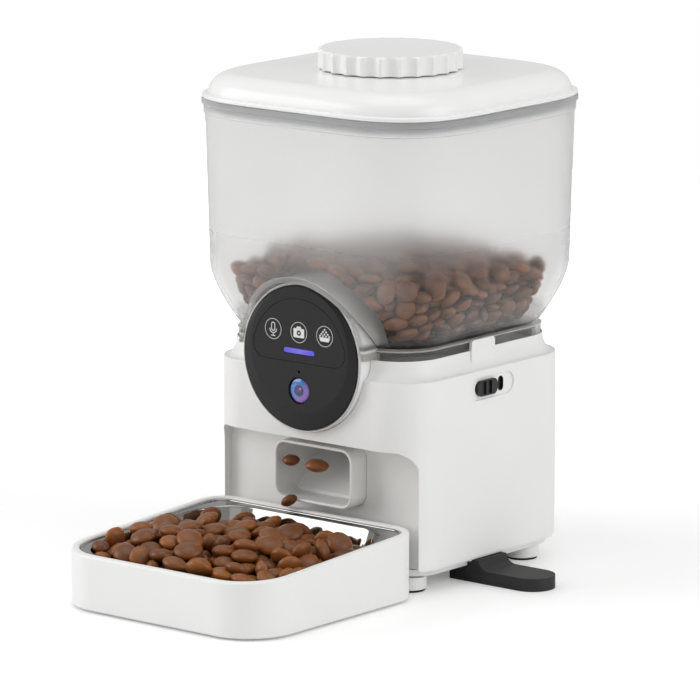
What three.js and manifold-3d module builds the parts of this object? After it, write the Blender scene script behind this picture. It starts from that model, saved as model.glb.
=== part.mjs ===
// Camera pet feeder: a square food tank with a twist-knob lid stands on a white base.
// A paddle rotor in the base drops kibble through a chute into a steel bowl in a sloped tray.
// Units are millimetres, +Z is up, the front looks towards -Y.

import * as THREE from 'three';
import * as BufferGeometryUtils from 'three/addons/utils/BufferGeometryUtils.js';
import Module from 'manifold-3d';

const wasm = await Module();
wasm.setup();

// Driving sizes shared by many pieces
const fit = 0.3;
const overrun = 6;

const base = {
  width: 160, corner: 28, wall: 2.5, bottom: 14.5, bottomStep: 2, bottomInset: 1,
  seatRise: 5, lipRise: 6.7, shoulderInset: 5, collarSlack: 0.3, roofTaper: 6,
};
const alcove = { side: 4, depth: 20, above: 22.5, corner: 12 };
const tank = {
  collarInset: 6.5, collarHeight: 12.7, floorRise: 1, floorThickness: 3, wall: 2.5,
  overhang: 11.75, draft: 1.75, roundHeight: 42.3, roundInset: 20, roundPower: 1.6,
  corner: 73, cornerPower: 3.2, bodyHeight: 88.5, bandStep: 0.6, bandHeight: 5.5, rimStep: 1.5,
  rimThickness: 4, outletGap: 6, spigotDrop: 13.7,
};
const pod = {
  rise: 3.7, radius: 45.5, wall: 2, proud: 6.5, back: 16, edge: 1.5, plateThickness: 3,
  hoodWall: 2.7, hoodGap: 0.8, hoodSetBack: 2.3, pocketGap: 1,
};
const mouth = { below: 24.5, width: 61, height: 37, corner: 8.5, wall: 2, reach: 14 };
const tub = {
  depth: 45, floorThickness: 2.5, seatMargin: 17.5, wall: 2, flangeWidth: 4, flangeThickness: 1.7,
};
const tray = {
  overhang: 0.25, depth: 152.3, alcoveGap: 9.1, frontCorner: 32, rearCorner: 18,
  frontRim: 34.5, rearRim: 42.5, floorThickness: 3, pad: 1, bead: 4.8, beadRound: 1.4, ledgeDrop: 2.9,
  ledgeWidth: 6, bottomInset: 1.2,
};
const bowl = {
  sheet: 0.8, rollHeight: 1.6, rollWidth: 1.8, basinInset: 9.5, basinFrontCorner: 26,
  basinRearCorner: 30, floor: 9, draft: 7, bottomRound: 7,
};
const plate = { bottom: 9.5, thickness: 4, inset: 8, corner: 20, trayGap: 2.8, spigot: 2.5, taper: 2 };
const foot = { radius: 10.3, sideInset: 20, endInset: 25, pad: 1, padInset: 1 };
const stabiliser = {
  width: 27.5, hold: 20, reach: 46.4, height: 14, tongue: 8, filletGap: 2, fillet: 8, travel: 44, cover: 2,
};
const battery = { cells: 3, radius: 13.1, length: 50, pitch: 27, wall: 1.8, contact: 2.2 };
const door = { thickness: 2, ledge: 2, tail: 2.2, grooves: 3 };
const gear = {
  moduleLength: 1, teeth: 40, pinionTeeth: 12, thickness: 4, gap: 1.2, backlash: 0.35, pinionBore: 2,
  rootShare: 1.15, tipShare: 0.85, rootWidthShare: 0.29, tipWidthShare: 0.1,
};
const motor = {
  halfWidth: 19, height: 24, frontShare: 0.8, length: 38, can: 11, boardGap: 1.1, bayGap: 15.7, shaft: 1.7,
};
const bracket = { halfWidth: 28, thickness: 1.5, front: 8, post: 2.5 };
const inlet = { x: 40, z: 58, radius: 5.6, bore: 3.2, length: 9, pin: 1 };
const mainBoard = { aboveTub: 34, besideInlet: 12, besideSpeaker: 1, belowInlet: 10, thickness: 1.6 };
const slot = {
  centre: -6.2, length: 20.4, height: 9.2, travel: 7.5, below: 11.2, bar: 1.8, window: 5.4,
  recessDepth: 1.2, border: 2.4, frontMargin: 6.6, rearMargin: 9,
};

// Widths and depths, from the base outwards
const halfBase = base.width / 2;
const halfCollar = halfBase - tank.collarInset;
const lowerHalf = halfBase + tank.overhang;
const upperHalf = lowerHalf + tank.draft;
const rimHalf = upperHalf + tank.rimStep;
const tubRadius = halfCollar - tub.seatMargin;
const tubFlange = tubRadius + tub.flangeWidth;
const outletRadius = tubRadius - tank.outletGap;
const alcoveHalf = halfBase - alcove.side;
const alcoveBack = -(halfBase - alcove.depth);
const faceFront = -(halfBase + pod.proud);
const faceBack = faceFront + pod.plateThickness;
const podFront = faceBack + fit;
const podBack = -(halfBase - pod.back);
const trayHalf = halfBase + tray.overhang;
const trayRear = alcoveBack - tray.alcoveGap;
const trayFront = trayRear - tray.depth;
const shift = (-trayFront - rimHalf) / 2;
const rimSlope = (tray.rearRim - tray.frontRim) / tray.depth;

// The underside from the rear forwards: battery bay, stabilisers, screws
const plateTop = plate.bottom + plate.thickness;
const plateFront = trayRear + plate.trayGap;
const plateHalf = halfBase - plate.inset;
const bayHalf = battery.pitch * battery.cells / 2;
const bayRear = plateHalf - door.tail;
const cellRear = bayRear - battery.contact;
const cellFront = cellRear - battery.length;
const bayFront = cellFront - battery.contact;
const coverRear = bayFront - battery.wall - fit;
const stabiliserInner = halfBase - stabiliser.hold;
const stabiliserCentre = coverRear - stabiliser.cover - fit - stabiliser.width / 2;
const coverFront = stabiliserCentre - stabiliser.cover - fit - stabiliser.width / 2;

// Heights from the floor up: battery bay, motor, gears, rotor chamber, seat, tank
const bayTop = plateTop + battery.wall + 2 * (battery.radius + fit);
const motorTop = bayTop + motor.bayGap + motor.height;
const bracketTop = motorTop + fit + bracket.thickness;
const gearBottom = bracketTop + gear.gap;
const tubFloor = gearBottom + gear.thickness + gear.gap;
const mouthCentre = tubFloor - mouth.below;
const alcoveTop = mouthCentre + alcove.above;
const seat = tubFloor + tub.depth;
const crease = seat - base.seatRise;
const podHeight = seat + pod.rise;
const slotHeight = crease - slot.below;
const collarTop = seat + tank.collarHeight;
const tankFloor = collarTop + tank.floorRise;
const roundTop = collarTop + tank.roundHeight;
const bandBottom = roundTop + tank.bodyHeight;
const rimBottom = bandBottom + tank.bandHeight;
const rimTop = rimBottom + tank.rimThickness;

const cornerSteps = 5;
const fullCircle = 32;
const smallCircle = 12;

// Materials
const paints = {
  white: [0xf1f1ef, 0.42, 0],
  lidWhite: [0xf4f4f3, 0.3, 0],
  frosted: [0xdcdcda, 0.5, 0],
  black: [0x232324, 0.25, 0],
  matteBlack: [0x242424, 0.6, 0],
  clear: [0xe6ecef, 0.1, 0],
  steel: [0xc9c9c9, 0.12, 1],
  rubber: [0x1c1c1c, 0.8, 0],
  silicone: [0xb9c2c6, 0.6, 0],
  board: [0x1f6a3a, 0.5, 0],
  gear: [0xd8d2c0, 0.5, 0],
  light: [0x6b63f0, 0.4, 0],
  glass: [0x2c3f8f, 0.05, 0],
  cell: [0x3b5b7a, 0.4, 0.3],
  paper: [0xe4e2da, 0.9, 0],
};
const materials = {};
for (const [name, [color, roughness, metalness]] of Object.entries(paints)) {
  materials[name] = new THREE.MeshStandardMaterial({ name, color, roughness, metalness });
}

// Solids: every shape below is a closed manifold solid until it becomes a mesh
function solid(geometry) {
  const plain = geometry.clone();
  plain.deleteAttribute('normal');
  plain.deleteAttribute('uv');
  const merged = BufferGeometryUtils.mergeVertices(plain);
  return new wasm.Manifold(new wasm.Mesh({
    numProp: 3,
    vertProperties: new Float32Array(merged.attributes.position.array),
    triVerts: new Uint32Array(merged.index.array),
  }));
}

function join(...solids) {
  return solids.reduce((sum, next) => sum.add(next));
}

function cut(body, ...cutters) {
  return cutters.reduce((rest, cutter) => rest.subtract(cutter), body);
}

function block(xMin, xMax, yMin, yMax, zMin, zMax) {
  const box = new THREE.BoxGeometry(xMax - xMin, yMax - yMin, zMax - zMin);
  box.translate((xMin + xMax) / 2, (yMin + yMax) / 2, (zMin + zMax) / 2);
  return solid(box);
}

function rod(radius, zMin, zMax, x = 0, y = 0, sides = smallCircle) {
  const shape = new THREE.CylinderGeometry(radius, radius, zMax - zMin, sides);
  shape.rotateX(Math.PI / 2);
  shape.translate(x, y, (zMin + zMax) / 2);
  return solid(shape);
}

// A round bar lying along Y, from yMin to yMax
function barrel(radius, yMin, yMax, x = 0, z = 0, sides = smallCircle) {
  const shape = new THREE.CylinderGeometry(radius, radius, yMax - yMin, sides);
  shape.translate(x, (yMin + yMax) / 2, z);
  return solid(shape);
}

// A profile of [radius, height] points turned about Z
function turned(profile, sides = fullCircle, x = 0, y = 0) {
  const points = profile.map(([radius, height]) => new THREE.Vector2(radius, height));
  const shape = new THREE.LatheGeometry(points, sides);
  shape.rotateX(Math.PI / 2);
  shape.translate(x, y, 0);
  return solid(shape);
}

function toShape(points) {
  return new THREE.Shape(points.map(([u, v]) => new THREE.Vector2(u, v)));
}

function prism(points, length, basis, place) {
  const shape = new THREE.ExtrudeGeometry(toShape(points), { depth: length, bevelEnabled: false });
  shape.applyMatrix4(basis);
  shape.translate(...place);
  return solid(shape);
}

const axisX = new THREE.Vector3(1, 0, 0);
const axisY = new THREE.Vector3(0, 1, 0);
const axisZ = new THREE.Vector3(0, 0, 1);
const minusY = new THREE.Vector3(0, -1, 0);

// Outlines in (x, y), (x, z) and (y, z) pushed out along Z, Y and X
function prismZ(points, zMin, zMax) {
  return prism(points, zMax - zMin, new THREE.Matrix4(), [0, 0, zMin]);
}

function prismY(points, yMin, yMax) {
  const basis = new THREE.Matrix4().makeBasis(axisX, axisZ, minusY);
  return prism(points, yMax - yMin, basis, [0, yMax, 0]);
}

function prismX(points, xMin, xMax) {
  const basis = new THREE.Matrix4().makeBasis(axisY, axisZ, axisX);
  return prism(points, xMax - xMin, basis, [xMin, 0, 0]);
}

// Rectangle with round corners. Each corner follows |u|^power + |v|^power = corner^power.
function outline(
  uMin, uMax, vMin, vMax, lowCorner, highCorner = lowCorner, power = 2, steps = cornerSteps,
) {
  const corners = [
    [uMax, vMax, highCorner, 0],
    [uMin, vMax, highCorner, 1],
    [uMin, vMin, lowCorner, 2],
    [uMax, vMin, lowCorner, 3],
  ];
  const points = [];
  for (const [u, v, radius, quarter] of corners) {
    const uSide = Math.sign(u - (uMin + uMax) / 2);
    const vSide = Math.sign(v - (vMin + vMax) / 2);
    for (let step = 0; step <= steps; step += 1) {
      const angle = (quarter + step / steps) * Math.PI / 2;
      const across = Math.abs(Math.cos(angle)) ** (2 / power);
      const along = Math.abs(Math.sin(angle)) ** (2 / power);
      points.push([u - uSide * radius * (1 - across), v - vSide * radius * (1 - along)]);
    }
  }
  return points;
}

function square(half, corner, power = 2) {
  return outline(-half, half, -half, half, corner, corner, power);
}

// Rings of [x, y, z] points joined by side faces, with a fan over the first and the last ring
function loft(rings) {
  const count = rings[0].length;
  const vertices = rings.flat();
  const triangles = [];
  for (let ring = 0; ring + 1 < rings.length; ring += 1) {
    for (let index = 0; index < count; index += 1) {
      const next = (index + 1) % count;
      const low = ring * count;
      const high = low + count;
      triangles.push([low + index, low + next, high + next]);
      triangles.push([low + index, high + next, high + index]);
    }
  }
  const caps = [[rings[0], 0, true], [rings.at(-1), (rings.length - 1) * count, false]];
  for (const [ring, start, facesDown] of caps) {
    const middle = [0, 1, 2].map((axis) => ring.reduce((sum, point) => sum + point[axis], 0) / count);
    vertices.push(middle);
    const hub = vertices.length - 1;
    for (let index = 0; index < count; index += 1) {
      const next = start + (index + 1) % count;
      const here = start + index;
      triangles.push(facesDown ? [hub, next, here] : [hub, here, next]);
    }
  }
  const shape = new THREE.BufferGeometry();
  shape.setAttribute('position', new THREE.Float32BufferAttribute(vertices.flat(), 3));
  shape.setIndex(triangles.flat());
  return solid(shape);
}

function ringAt(points, height) {
  return points.map(([x, y]) => [x, y, typeof height === 'function' ? height(y) : height]);
}

// Square sections given as [height, half width, corner, power]
function squareLoft(sections) {
  return loft(sections.map(([z, half, corner, power]) => ringAt(square(half, corner, power), z)));
}

const feeder = new THREE.Group();
feeder.position.y = shift;

function piece(name, body, paint) {
  const { vertProperties, triVerts } = body.getMesh();
  const shape = new THREE.BufferGeometry();
  shape.setAttribute('position', new THREE.BufferAttribute(vertProperties, 3));
  shape.setIndex(new THREE.BufferAttribute(triVerts, 1));
  shape.computeVertexNormals();
  const mesh = new THREE.Mesh(shape, materials[paint]);
  mesh.name = name;
  feeder.add(mesh);
  return mesh;
}

// Hopper tank: square bottle with a rounded lower edge, an outlet, and a downward pocket round the pod
const lug = {
  gap: 4.5, thickness: 3, ahead: 5.2, width: 14, below: 5.8, notchDepth: 8, notchLow: 3, notchHigh: 9,
};
const lugInner = tubFlange + lug.gap;
const lugFront = slot.centre + lug.ahead;
const lugBottom = slotHeight - lug.below;

function tankSections(inset, bottomHeight) {
  const steps = 6;
  const sections = [];
  for (let step = steps; step >= 0; step -= 1) {
    const share = step / steps;
    const height = roundTop - share * (roundTop - bottomHeight);
    const half = lowerHalf - tank.roundInset * share ** tank.roundPower - inset;
    const corner = tank.corner + share * (base.corner - tank.corner) - inset;
    const power = tank.cornerPower + share * (2 - tank.cornerPower);
    sections.push([height, half, corner, power]);
  }
  return sections;
}

function arch(radius) {
  const points = [[radius, crease - overrun]];
  const steps = fullCircle / 2;
  for (let step = 0; step <= steps; step += 1) {
    const angle = Math.PI * step / steps;
    points.push([radius * Math.cos(angle), podHeight + radius * Math.sin(angle)]);
  }
  points.push([-radius, crease - overrun]);
  return points;
}

const pocketRadius = pod.radius + pod.hoodGap;
const plateRadius = pod.radius - pod.edge;
const pocketBack = podBack + pod.pocketGap;
const outside = -(rimHalf + overrun);

function makeTank() {
  const topCorner = tank.corner;
  const power = tank.cornerPower;
    const halfBand = upperHalf + tank.bandStep;
  const outer = squareLoft([
    [seat + fit, halfCollar, base.corner, 2],
    [collarTop, halfCollar, base.corner, 2],
    ...tankSections(0, collarTop + fit),
    [bandBottom, upperHalf, topCorner, power],
    [bandBottom + tank.bandStep, halfBand, topCorner, power],
    [rimBottom, halfBand, topCorner, power],
    [rimBottom + tank.bandStep, rimHalf, topCorner, power],
    [rimTop, rimHalf, topCorner, power],
  ]);
  const inside = squareLoft([
    ...tankSections(tank.wall, tankFloor),
    [rimTop + overrun, upperHalf - tank.wall, topCorner - tank.wall, power],
  ]);
  const floorBottom = tankFloor - tank.floorThickness;
  const skirtHalf = halfCollar - tank.wall;
  const skirt = squareLoft([
    [seat - overrun, skirtHalf, base.corner - tank.wall, 2],
    [floorBottom, skirtHalf, base.corner - tank.wall, 2],
  ]);
  const pocket = prismY(arch(pocketRadius), outside, pocketBack);
  const pocketWalls = prismY(arch(pocketRadius + pod.hoodWall), outside, pocketBack + tank.wall);
  const hoodRange = block(-halfBase, halfBase, faceFront + pod.hoodSetBack, pocketBack + tank.wall,
    seat + base.lipRise + 2 * fit, rimTop);
  const hood = pocketWalls.intersect(hoodRange);
  const outletHole = rod(outletRadius, seat, rimTop, 0, 0, fullCircle);
  const spigotBottom = floorBottom - tank.spigotDrop;
  const spigot = cut(
    rod(outletRadius + tank.wall, spigotBottom, tankFloor, 0, 0, fullCircle),
    rod(outletRadius, spigotBottom - overrun, rimTop, 0, 0, fullCircle),
  );
  const shell = cut(join(outer, hood), cut(inside, pocketWalls), skirt, pocket, outletHole);
  return join(shell, spigot, makeLug(floorBottom));
}

// The lug reaches down through the seat and has a notch in its front edge for the lock bolt
function makeLug(top) {
  const notch = block(
    lugInner - overrun, lugInner + lug.thickness + overrun,
    lugFront - overrun, lugFront + lug.notchDepth,
    lugBottom + lug.notchLow, lugBottom + lug.notchHigh,
  );
  const tongue = block(lugInner, lugInner + lug.thickness, lugFront, lugFront + lug.width,
    lugBottom, top + tank.floorThickness / 2);
  return cut(tongue, notch);
}

piece('hopper_tank', makeTank(), 'frosted');

// Lid: lip, rounded edge and nearly flat crown, with a skirt that carries the gasket
const lid = {
  lipHeight: 2.6, lipInset: 0.4, lipStep: 3.6, edgeRound: 14, height: 16, crownRise: 0.6, wall: 2.2,
  skirtGap: 2.3, skirtDrop: 9, hole: 34,
};
const gasket = { height: 4, drop: 3 };
const lidBottom = rimTop + fit;
const lidTop = rimTop + lid.height;
const tankInnerHalf = upperHalf - tank.wall;
const skirtHalf = tankInnerHalf - lid.skirtGap;

function lidSections(inset, lift) {
  const halfLid = rimHalf;
  const start = lidBottom + lid.lipHeight;
  const rise = lidTop - lid.crownRise - start - lift;
  const steps = 6;
  const sections = [];
  for (let step = 0; step <= steps; step += 1) {
    const angle = Math.PI / 2 * step / steps;
    const draw = lid.lipStep + lid.edgeRound * (1 - Math.cos(angle)) + inset;
    sections.push([start + rise * Math.sin(angle), halfLid - draw, tank.corner - draw, tank.cornerPower]);
  }
  return sections;
}

function makeLid() {
  const half = rimHalf;
  const crown = half / 2;
  const outer = squareLoft([
    [lidBottom - lid.skirtDrop, skirtHalf, tank.corner - tank.wall, tank.cornerPower],
    [lidBottom, skirtHalf, tank.corner - tank.wall, tank.cornerPower],
    [lidBottom, half - lid.lipInset, tank.corner, tank.cornerPower],
    [lidBottom + lid.lipHeight - lid.lipInset, half - lid.lipInset, tank.corner, tank.cornerPower],
    [lidBottom + lid.lipHeight, half - 3 * lid.lipInset, tank.corner, tank.cornerPower],
    ...lidSections(0, 0),
    [lidTop, crown, crown / 2, 2],
  ]);
  const hollowHalf = skirtHalf - lid.wall;
  const hollowCorner = tank.corner - lid.skirtGap - tank.wall;
  const inner = squareLoft([
    [lidBottom - lid.skirtDrop - overrun, hollowHalf, hollowCorner, tank.cornerPower],
    [lidBottom + lid.lipHeight - lid.wall, hollowHalf, hollowCorner, tank.cornerPower],
    ...lidSections(lid.wall + lid.skirtGap, lid.wall),
  ]);
  return cut(outer, inner, rod(lid.hole, lidBottom, lidTop + overrun, 0, 0, fullCircle));
}

function makeGasket() {
  const top = lidBottom - gasket.drop;
  const outerHalf = tankInnerHalf - fit;
  const innerHalf = skirtHalf + fit;
  const corner = tank.corner - tank.wall;
  return cut(
    squareLoft([
      [top - gasket.height, outerHalf, corner, tank.cornerPower],
      [top, outerHalf, corner, tank.cornerPower],
    ]),
    squareLoft([
      [top - gasket.height - overrun, innerHalf, corner, tank.cornerPower],
      [top + overrun, innerHalf, corner, tank.cornerPower],
    ]),
  );
}

piece('hopper_lid', makeLid(), 'lidWhite');
piece('lid_gasket', makeGasket(), 'silicone');

// Desiccant cup hangs in the lid under the fluted twist knob
const cup = { depth: 18, wall: 1.6, flange: 4, flangeThickness: 1.2, vents: 6, vent: 3 };
const knob = {
  radius: 44, height: 12.2, edge: 2.4, flutes: 24, fluteDepth: 1.5, wall: 2.4, plugDrop: 5, ridgeShare: 0.22,
};
const bag = { radius: 25, height: 9 };
const cupRadius = lid.hole - fit;
const cupFloor = lidTop - cup.depth;
const knobBottom = lidTop + fit;

function makeCup() {
  const flangeTop = lidTop + fit + cup.flangeThickness;
  const body = turned([
    [0, cupFloor], [cupRadius, cupFloor], [cupRadius, lidTop + fit],
    [cupRadius + cup.flange, lidTop + fit], [cupRadius + cup.flange, flangeTop],
    [cupRadius - cup.wall, flangeTop], [cupRadius - cup.wall, cupFloor + cup.wall], [0, cupFloor + cup.wall],
  ]);
  const vents = [];
  for (let index = 0; index < cup.vents; index += 1) {
    const angle = 2 * Math.PI * index / cup.vents;
    const reach = cupRadius / 2;
    vents.push(rod(cup.vent, cupFloor - overrun, cupFloor + overrun,
      reach * Math.cos(angle), reach * Math.sin(angle)));
  }
  return cut(body, ...vents);
}

function makeBag() {
  const low = cupFloor + cup.wall + fit;
  const steps = 5;
  const profile = [[0, low]];
  for (let step = 0; step <= steps; step += 1) {
    const angle = Math.PI * (step / steps - 1 / 2);
    const reach = bag.radius - bag.height / 2 * (1 - Math.cos(angle));
    profile.push([reach, low + bag.height / 2 * (1 + Math.sin(angle))]);
  }
  profile.push([0, low + bag.height]);
  return turned(profile, smallCircle);
}

// Shallow scallops between narrow ridges
function knobOutline(radius) {
  const stepsPerFlute = 4;
  const total = knob.flutes * stepsPerFlute;
  const points = [];
  for (let step = 0; step < total; step += 1) {
    const share = (step % stepsPerFlute) / stepsPerFlute;
    const inScallop = Math.max(0, (share - knob.ridgeShare) / (1 - knob.ridgeShare));
    const reach = radius - knob.fluteDepth * Math.sin(Math.PI * inScallop);
    const angle = 2 * Math.PI * step / total;
    points.push([reach * Math.cos(angle), reach * Math.sin(angle)]);
  }
  return points;
}

// A circle with as many points as the fluted outline
function roundOutline(radius) {
  const total = knobOutline(radius).length;
  const points = [];
  for (let step = 0; step < total; step += 1) {
    const angle = 2 * Math.PI * step / total;
    points.push([radius * Math.cos(angle), radius * Math.sin(angle)]);
  }
  return points;
}

function makeKnob() {
  const top = knobBottom + knob.height;
  const low = knobBottom + fit;
  const plugRadius = cupRadius - cup.wall - fit;
  const roof = top - knob.wall;
  const outer = loft([
    ringAt(knobOutline(knob.radius), low),
    ringAt(knobOutline(knob.radius), top - knob.edge),
    ringAt(roundOutline(knob.radius - knob.fluteDepth), top - knob.edge / 4),
    ringAt(roundOutline(knob.radius - knob.edge - knob.fluteDepth), top),
  ]);
  const hollowRadius = knob.radius - knob.fluteDepth - knob.wall;
  const hollow = rod(hollowRadius, knobBottom - overrun, roof, 0, 0, fullCircle);
  const plugBottom = lidTop - knob.plugDrop;
  const plug = cut(
    rod(plugRadius, plugBottom, roof + knob.wall / 2, 0, 0, fullCircle),
    rod(plugRadius - knob.wall, plugBottom - overrun, roof, 0, 0, fullCircle),
  );
  return join(cut(outer, hollow), plug);
}

piece('desiccant_cup', makeCup(), 'white');
piece('desiccant_bag', makeBag(), 'paper');
piece('lid_knob', makeKnob(), 'lidWhite');

// Base housing: shell with a front alcove, a concave shoulder and a seat for the tank
const tab = { front: -15.7, rear: 6.8, rise: 13, thickness: 2, corner: 3 };
const boss = { inset: 14, radius: 4.5, bore: 1.6, top: 45, rearGap: 16.7, rib: 1.2 };
const hook = { halfWidth: 20, bottom: 19, thickness: 3, reach: 12 };
const grille = { x: -34, aboveTub: 10, slots: 5, length: 24, height: 2.2, pitch: 5 };
const grilleHeight = tubFloor + grille.aboveTub;

function baseSections(inset) {
  const steps = 5;
  const lipTop = seat + base.lipRise;
  const sections = [
    [base.bottom, halfBase - base.bottomInset - inset, base.corner - inset, 2],
    [base.bottom + base.bottomStep, halfBase - inset, base.corner - inset, 2],
  ];
  for (let step = 0; step <= steps; step += 1) {
    const angle = Math.PI / 2 * step / steps;
    const draw = base.shoulderInset * Math.sin(angle) + inset;
    const height = crease + (lipTop - crease) * (1 - Math.cos(angle));
    sections.push([height, halfBase - draw, base.corner - draw, 2]);
  }
  return sections;
}

function makeHousing() {
  const lipTop = seat + base.lipRise;
  const seatHalf = halfCollar + base.collarSlack;
  const roofBottom = seat - base.wall;
  const innerHalf = halfBase - base.wall;
  const innerCorner = base.corner - base.wall;
  const outer = squareLoft(baseSections(0));
  const inside = squareLoft([
    [base.bottom - overrun, innerHalf, innerCorner, 2],
    [crease - base.roofTaper / 2, innerHalf, innerCorner, 2],
    [roofBottom, innerHalf - base.roofTaper / 2, innerCorner, 2],
  ]);
  const seatRecess = squareLoft([
    [seat, seatHalf, base.corner, 2],
    [lipTop + overrun, seatHalf, base.corner, 2],
  ]);
  const alcoveCut = prismY(alcoveOutline(0), outside, alcoveBack);
  const alcoveWalls = prismY(alcoveOutline(base.wall), outside, alcoveBack + base.wall);
  const podHole = barrel(pod.radius + fit, outside, podBack + fit, 0, podHeight, fullCircle);
  const tubHole = rod(tubRadius + fit, roofBottom - overrun, lipTop + overrun, 0, 0, fullCircle);
  const behindAlcove = alcoveBack + base.wall + overrun;
  const mouthHole = prismY(mouthOutline(-fit), outside, behindAlcove);
  const hookHole = block(-hook.halfWidth - fit, hook.halfWidth + fit, outside, behindAlcove,
    hook.bottom - fit, hook.bottom + hook.thickness + fit);
  const lugHole = block(lugInner - fit, lugInner + lug.thickness + fit, lugFront - fit,
    lugFront + lug.width + fit, roofBottom - overrun, lipTop + overrun);
  const shell = cut(outer, cut(inside, alcoveWalls), alcoveCut, seatRecess, podHole, tubHole, mouthHole,
    hookHole, lugHole);
  const bossBottom = base.bottom + plate.spigot + fit;
  const bosses = bossPlaces().map(([x, y]) => join(
    rod(boss.radius, bossBottom, boss.top, x, y),
    block(Math.min(x, Math.sign(x) * innerHalf), Math.max(x, Math.sign(x) * (innerHalf + base.wall / 2)),
      y - boss.rib, y + boss.rib, bossBottom, boss.top),
  ));
  const boreTop = boss.top - boss.radius;
  const bores = bossPlaces().map(([x, y]) => rod(boss.bore, bossBottom - overrun, boreTop, x, y));
  const cuts = [...bores, ...slotCuts(), ...grilleCuts(), barrel(inlet.radius + fit, innerHalf - overrun,
    halfBase + overrun, inlet.x, inlet.z)];
  return cut(join(shell, makeTab(seatHalf), ...bosses), ...cuts);
}

function bossPlaces() {
  const x = halfBase - boss.inset;
  const front = (alcoveBack + base.wall + coverFront) / 2;
  const rear = coverRear + boss.rearGap;
  return [[x, front], [-x, front], [x, rear], [-x, rear]];
}

function alcoveOutline(growth) {
  const half = alcoveHalf + growth;
  return outline(-half, half, base.bottom - overrun, alcoveTop + growth, 0, alcove.corner + growth);
}

function mouthOutline(inset) {
  const half = mouth.width / 2 - inset;
  const low = mouthCentre - mouth.height / 2 + inset;
  const high = mouthCentre + mouth.height / 2 - inset;
  return outline(-half, half, low, high, mouth.corner - inset);
}

// Locating tab on the right of the seat
function makeTab(seatHalf) {
  const low = seat - base.wall / 2;
  const shape = outline(tab.front, tab.rear, low, seat + tab.rise, 0, tab.corner);
  return prismX(shape, seatHalf, seatHalf + tab.thickness);
}

// Recess and through slot for the lock slider in the right wall
function slotCuts() {
  const front = slot.centre - slot.length / 2;
  const rear = slot.centre + slot.length / 2;
  const windowFront = rear + slot.bar;
  const windowRear = windowFront + slot.window;
  const low = slotHeight - slot.height / 2;
  const high = slotHeight + slot.height / 2;
  const grow = slot.border;
  const recess = outline(front - slot.frontMargin, windowRear + slot.rearMargin, low - grow, high + grow,
    slot.height / 2 + grow);
  const through = outline(front, rear, low, high, slot.height / 2);
  const window = outline(windowFront, windowRear, low, high, slot.window / 2);
  return [
    prismX(recess, halfBase - slot.recessDepth, halfBase + overrun),
    prismX(through, halfBase - overrun, halfBase + overrun),
    prismX(window, halfBase - overrun, halfBase + overrun),
  ];
}

function grilleCuts() {
  const cuts = [];
  for (let index = 0; index < grille.slots; index += 1) {
    const z = grilleHeight + (index - (grille.slots - 1) / 2) * grille.pitch;
    const shape = outline(grille.x - grille.length / 2, grille.x + grille.length / 2,
      z - grille.height / 2, z + grille.height / 2, grille.height / 2, grille.height / 2, 2, 3);
    cuts.push(prismY(shape, halfBase - overrun, halfBase + overrun));
  }
  return cuts;
}

piece('base_housing', makeHousing(), 'white');

// Bottom plate: shallow pan with channels for the stabilisers and a recess for the battery door
const screw = { head: 3.2, headHeight: 2, shank: 1.4, length: 20 };

function channel(side, growth) {
  const inner = stabiliserInner - stabiliser.travel - fit - growth;
  const ends = side > 0 ? [inner, halfBase + overrun] : [-halfBase - overrun, -inner];
  const half = stabiliser.width / 2 + fit + growth;
  return block(ends[0], ends[1], stabiliserCentre - half, stabiliserCentre + half,
    plate.bottom - overrun, stabiliser.height + fit + growth);
}

function plateOutline(inset, front) {
  const half = plateHalf + plate.taper - inset;
  return outline(-half, half, front + inset, half, plate.corner, base.corner - plate.inset);
}

function makePlate() {
  const rimTopHeight = base.bottom + plate.spigot;
  const pan = loft([
    ringAt(plateOutline(plate.taper, plateFront), plate.bottom),
    ringAt(plateOutline(plate.taper / 2, plateFront), plate.bottom + plate.taper / 2),
    ringAt(plateOutline(0, plateFront), base.bottom - fit),
  ]);
  const rimHalf = halfBase - base.wall - fit;
  const innerFront = alcoveBack + base.wall + fit;
  const rim = prismZ(outline(-rimHalf, rimHalf, innerFront, rimHalf, base.corner - base.wall),
    base.bottom - fit - plate.spigot, rimTopHeight - fit);
  const hollow = prismZ(outline(-plateHalf, plateHalf, innerFront + plate.taper, plateHalf, base.corner / 2),
    plateTop, rimTopHeight + overrun);
  const rimRange = prismZ(plateOutline(0, plateFront), plate.bottom, base.bottom - fit);
  const lowerRim = rim.intersect(rimRange);
  const underRim = block(-halfBase, halfBase, -halfBase, halfBase, plate.bottom, base.bottom - fit);
  const upperRim = cut(rim, underRim);
  const covers = [1, -1].map((side) => channel(side, stabiliser.cover).intersect(
    block(-rimHalf, rimHalf, -halfBase, halfBase, plateTop - fit, halfBase)));
  const channels = [channel(1, 0), channel(-1, 0)];
  const holes = bossPlaces().flatMap(([x, y]) => [
    rod(boss.bore + fit, plate.bottom - overrun, rimTopHeight + overrun, x, y),
    rod(screw.head + fit, plate.bottom - overrun, plate.bottom + screw.headHeight + fit, x, y),
  ]);
  const dish = cut(join(pan, lowerRim, upperRim), hollow);
  return cut(join(dish, ...covers), ...channels, ...holes, ...doorCuts());
}

function doorCuts() {
  const half = bayHalf + fit;
  return [
    block(-half, half, bayFront - fit, plateHalf + overrun,
      plate.bottom - overrun, plate.bottom + door.thickness + fit),
    block(-half + door.ledge, half - door.ledge, bayFront + door.ledge, bayRear - door.ledge,
      plate.bottom, plateTop + overrun),
  ];
}

function makeScrew([x, y]) {
  return join(
    rod(screw.head, plate.bottom, plate.bottom + screw.headHeight, x, y),
    rod(screw.shank, plate.bottom + screw.headHeight / 2, plate.bottom + screw.length, x, y),
  );
}

piece('base_bottom_plate', makePlate(), 'white');
bossPlaces().forEach((place, index) => piece(`base_screw_${index + 1}`, makeScrew(place), 'steel'));

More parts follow.
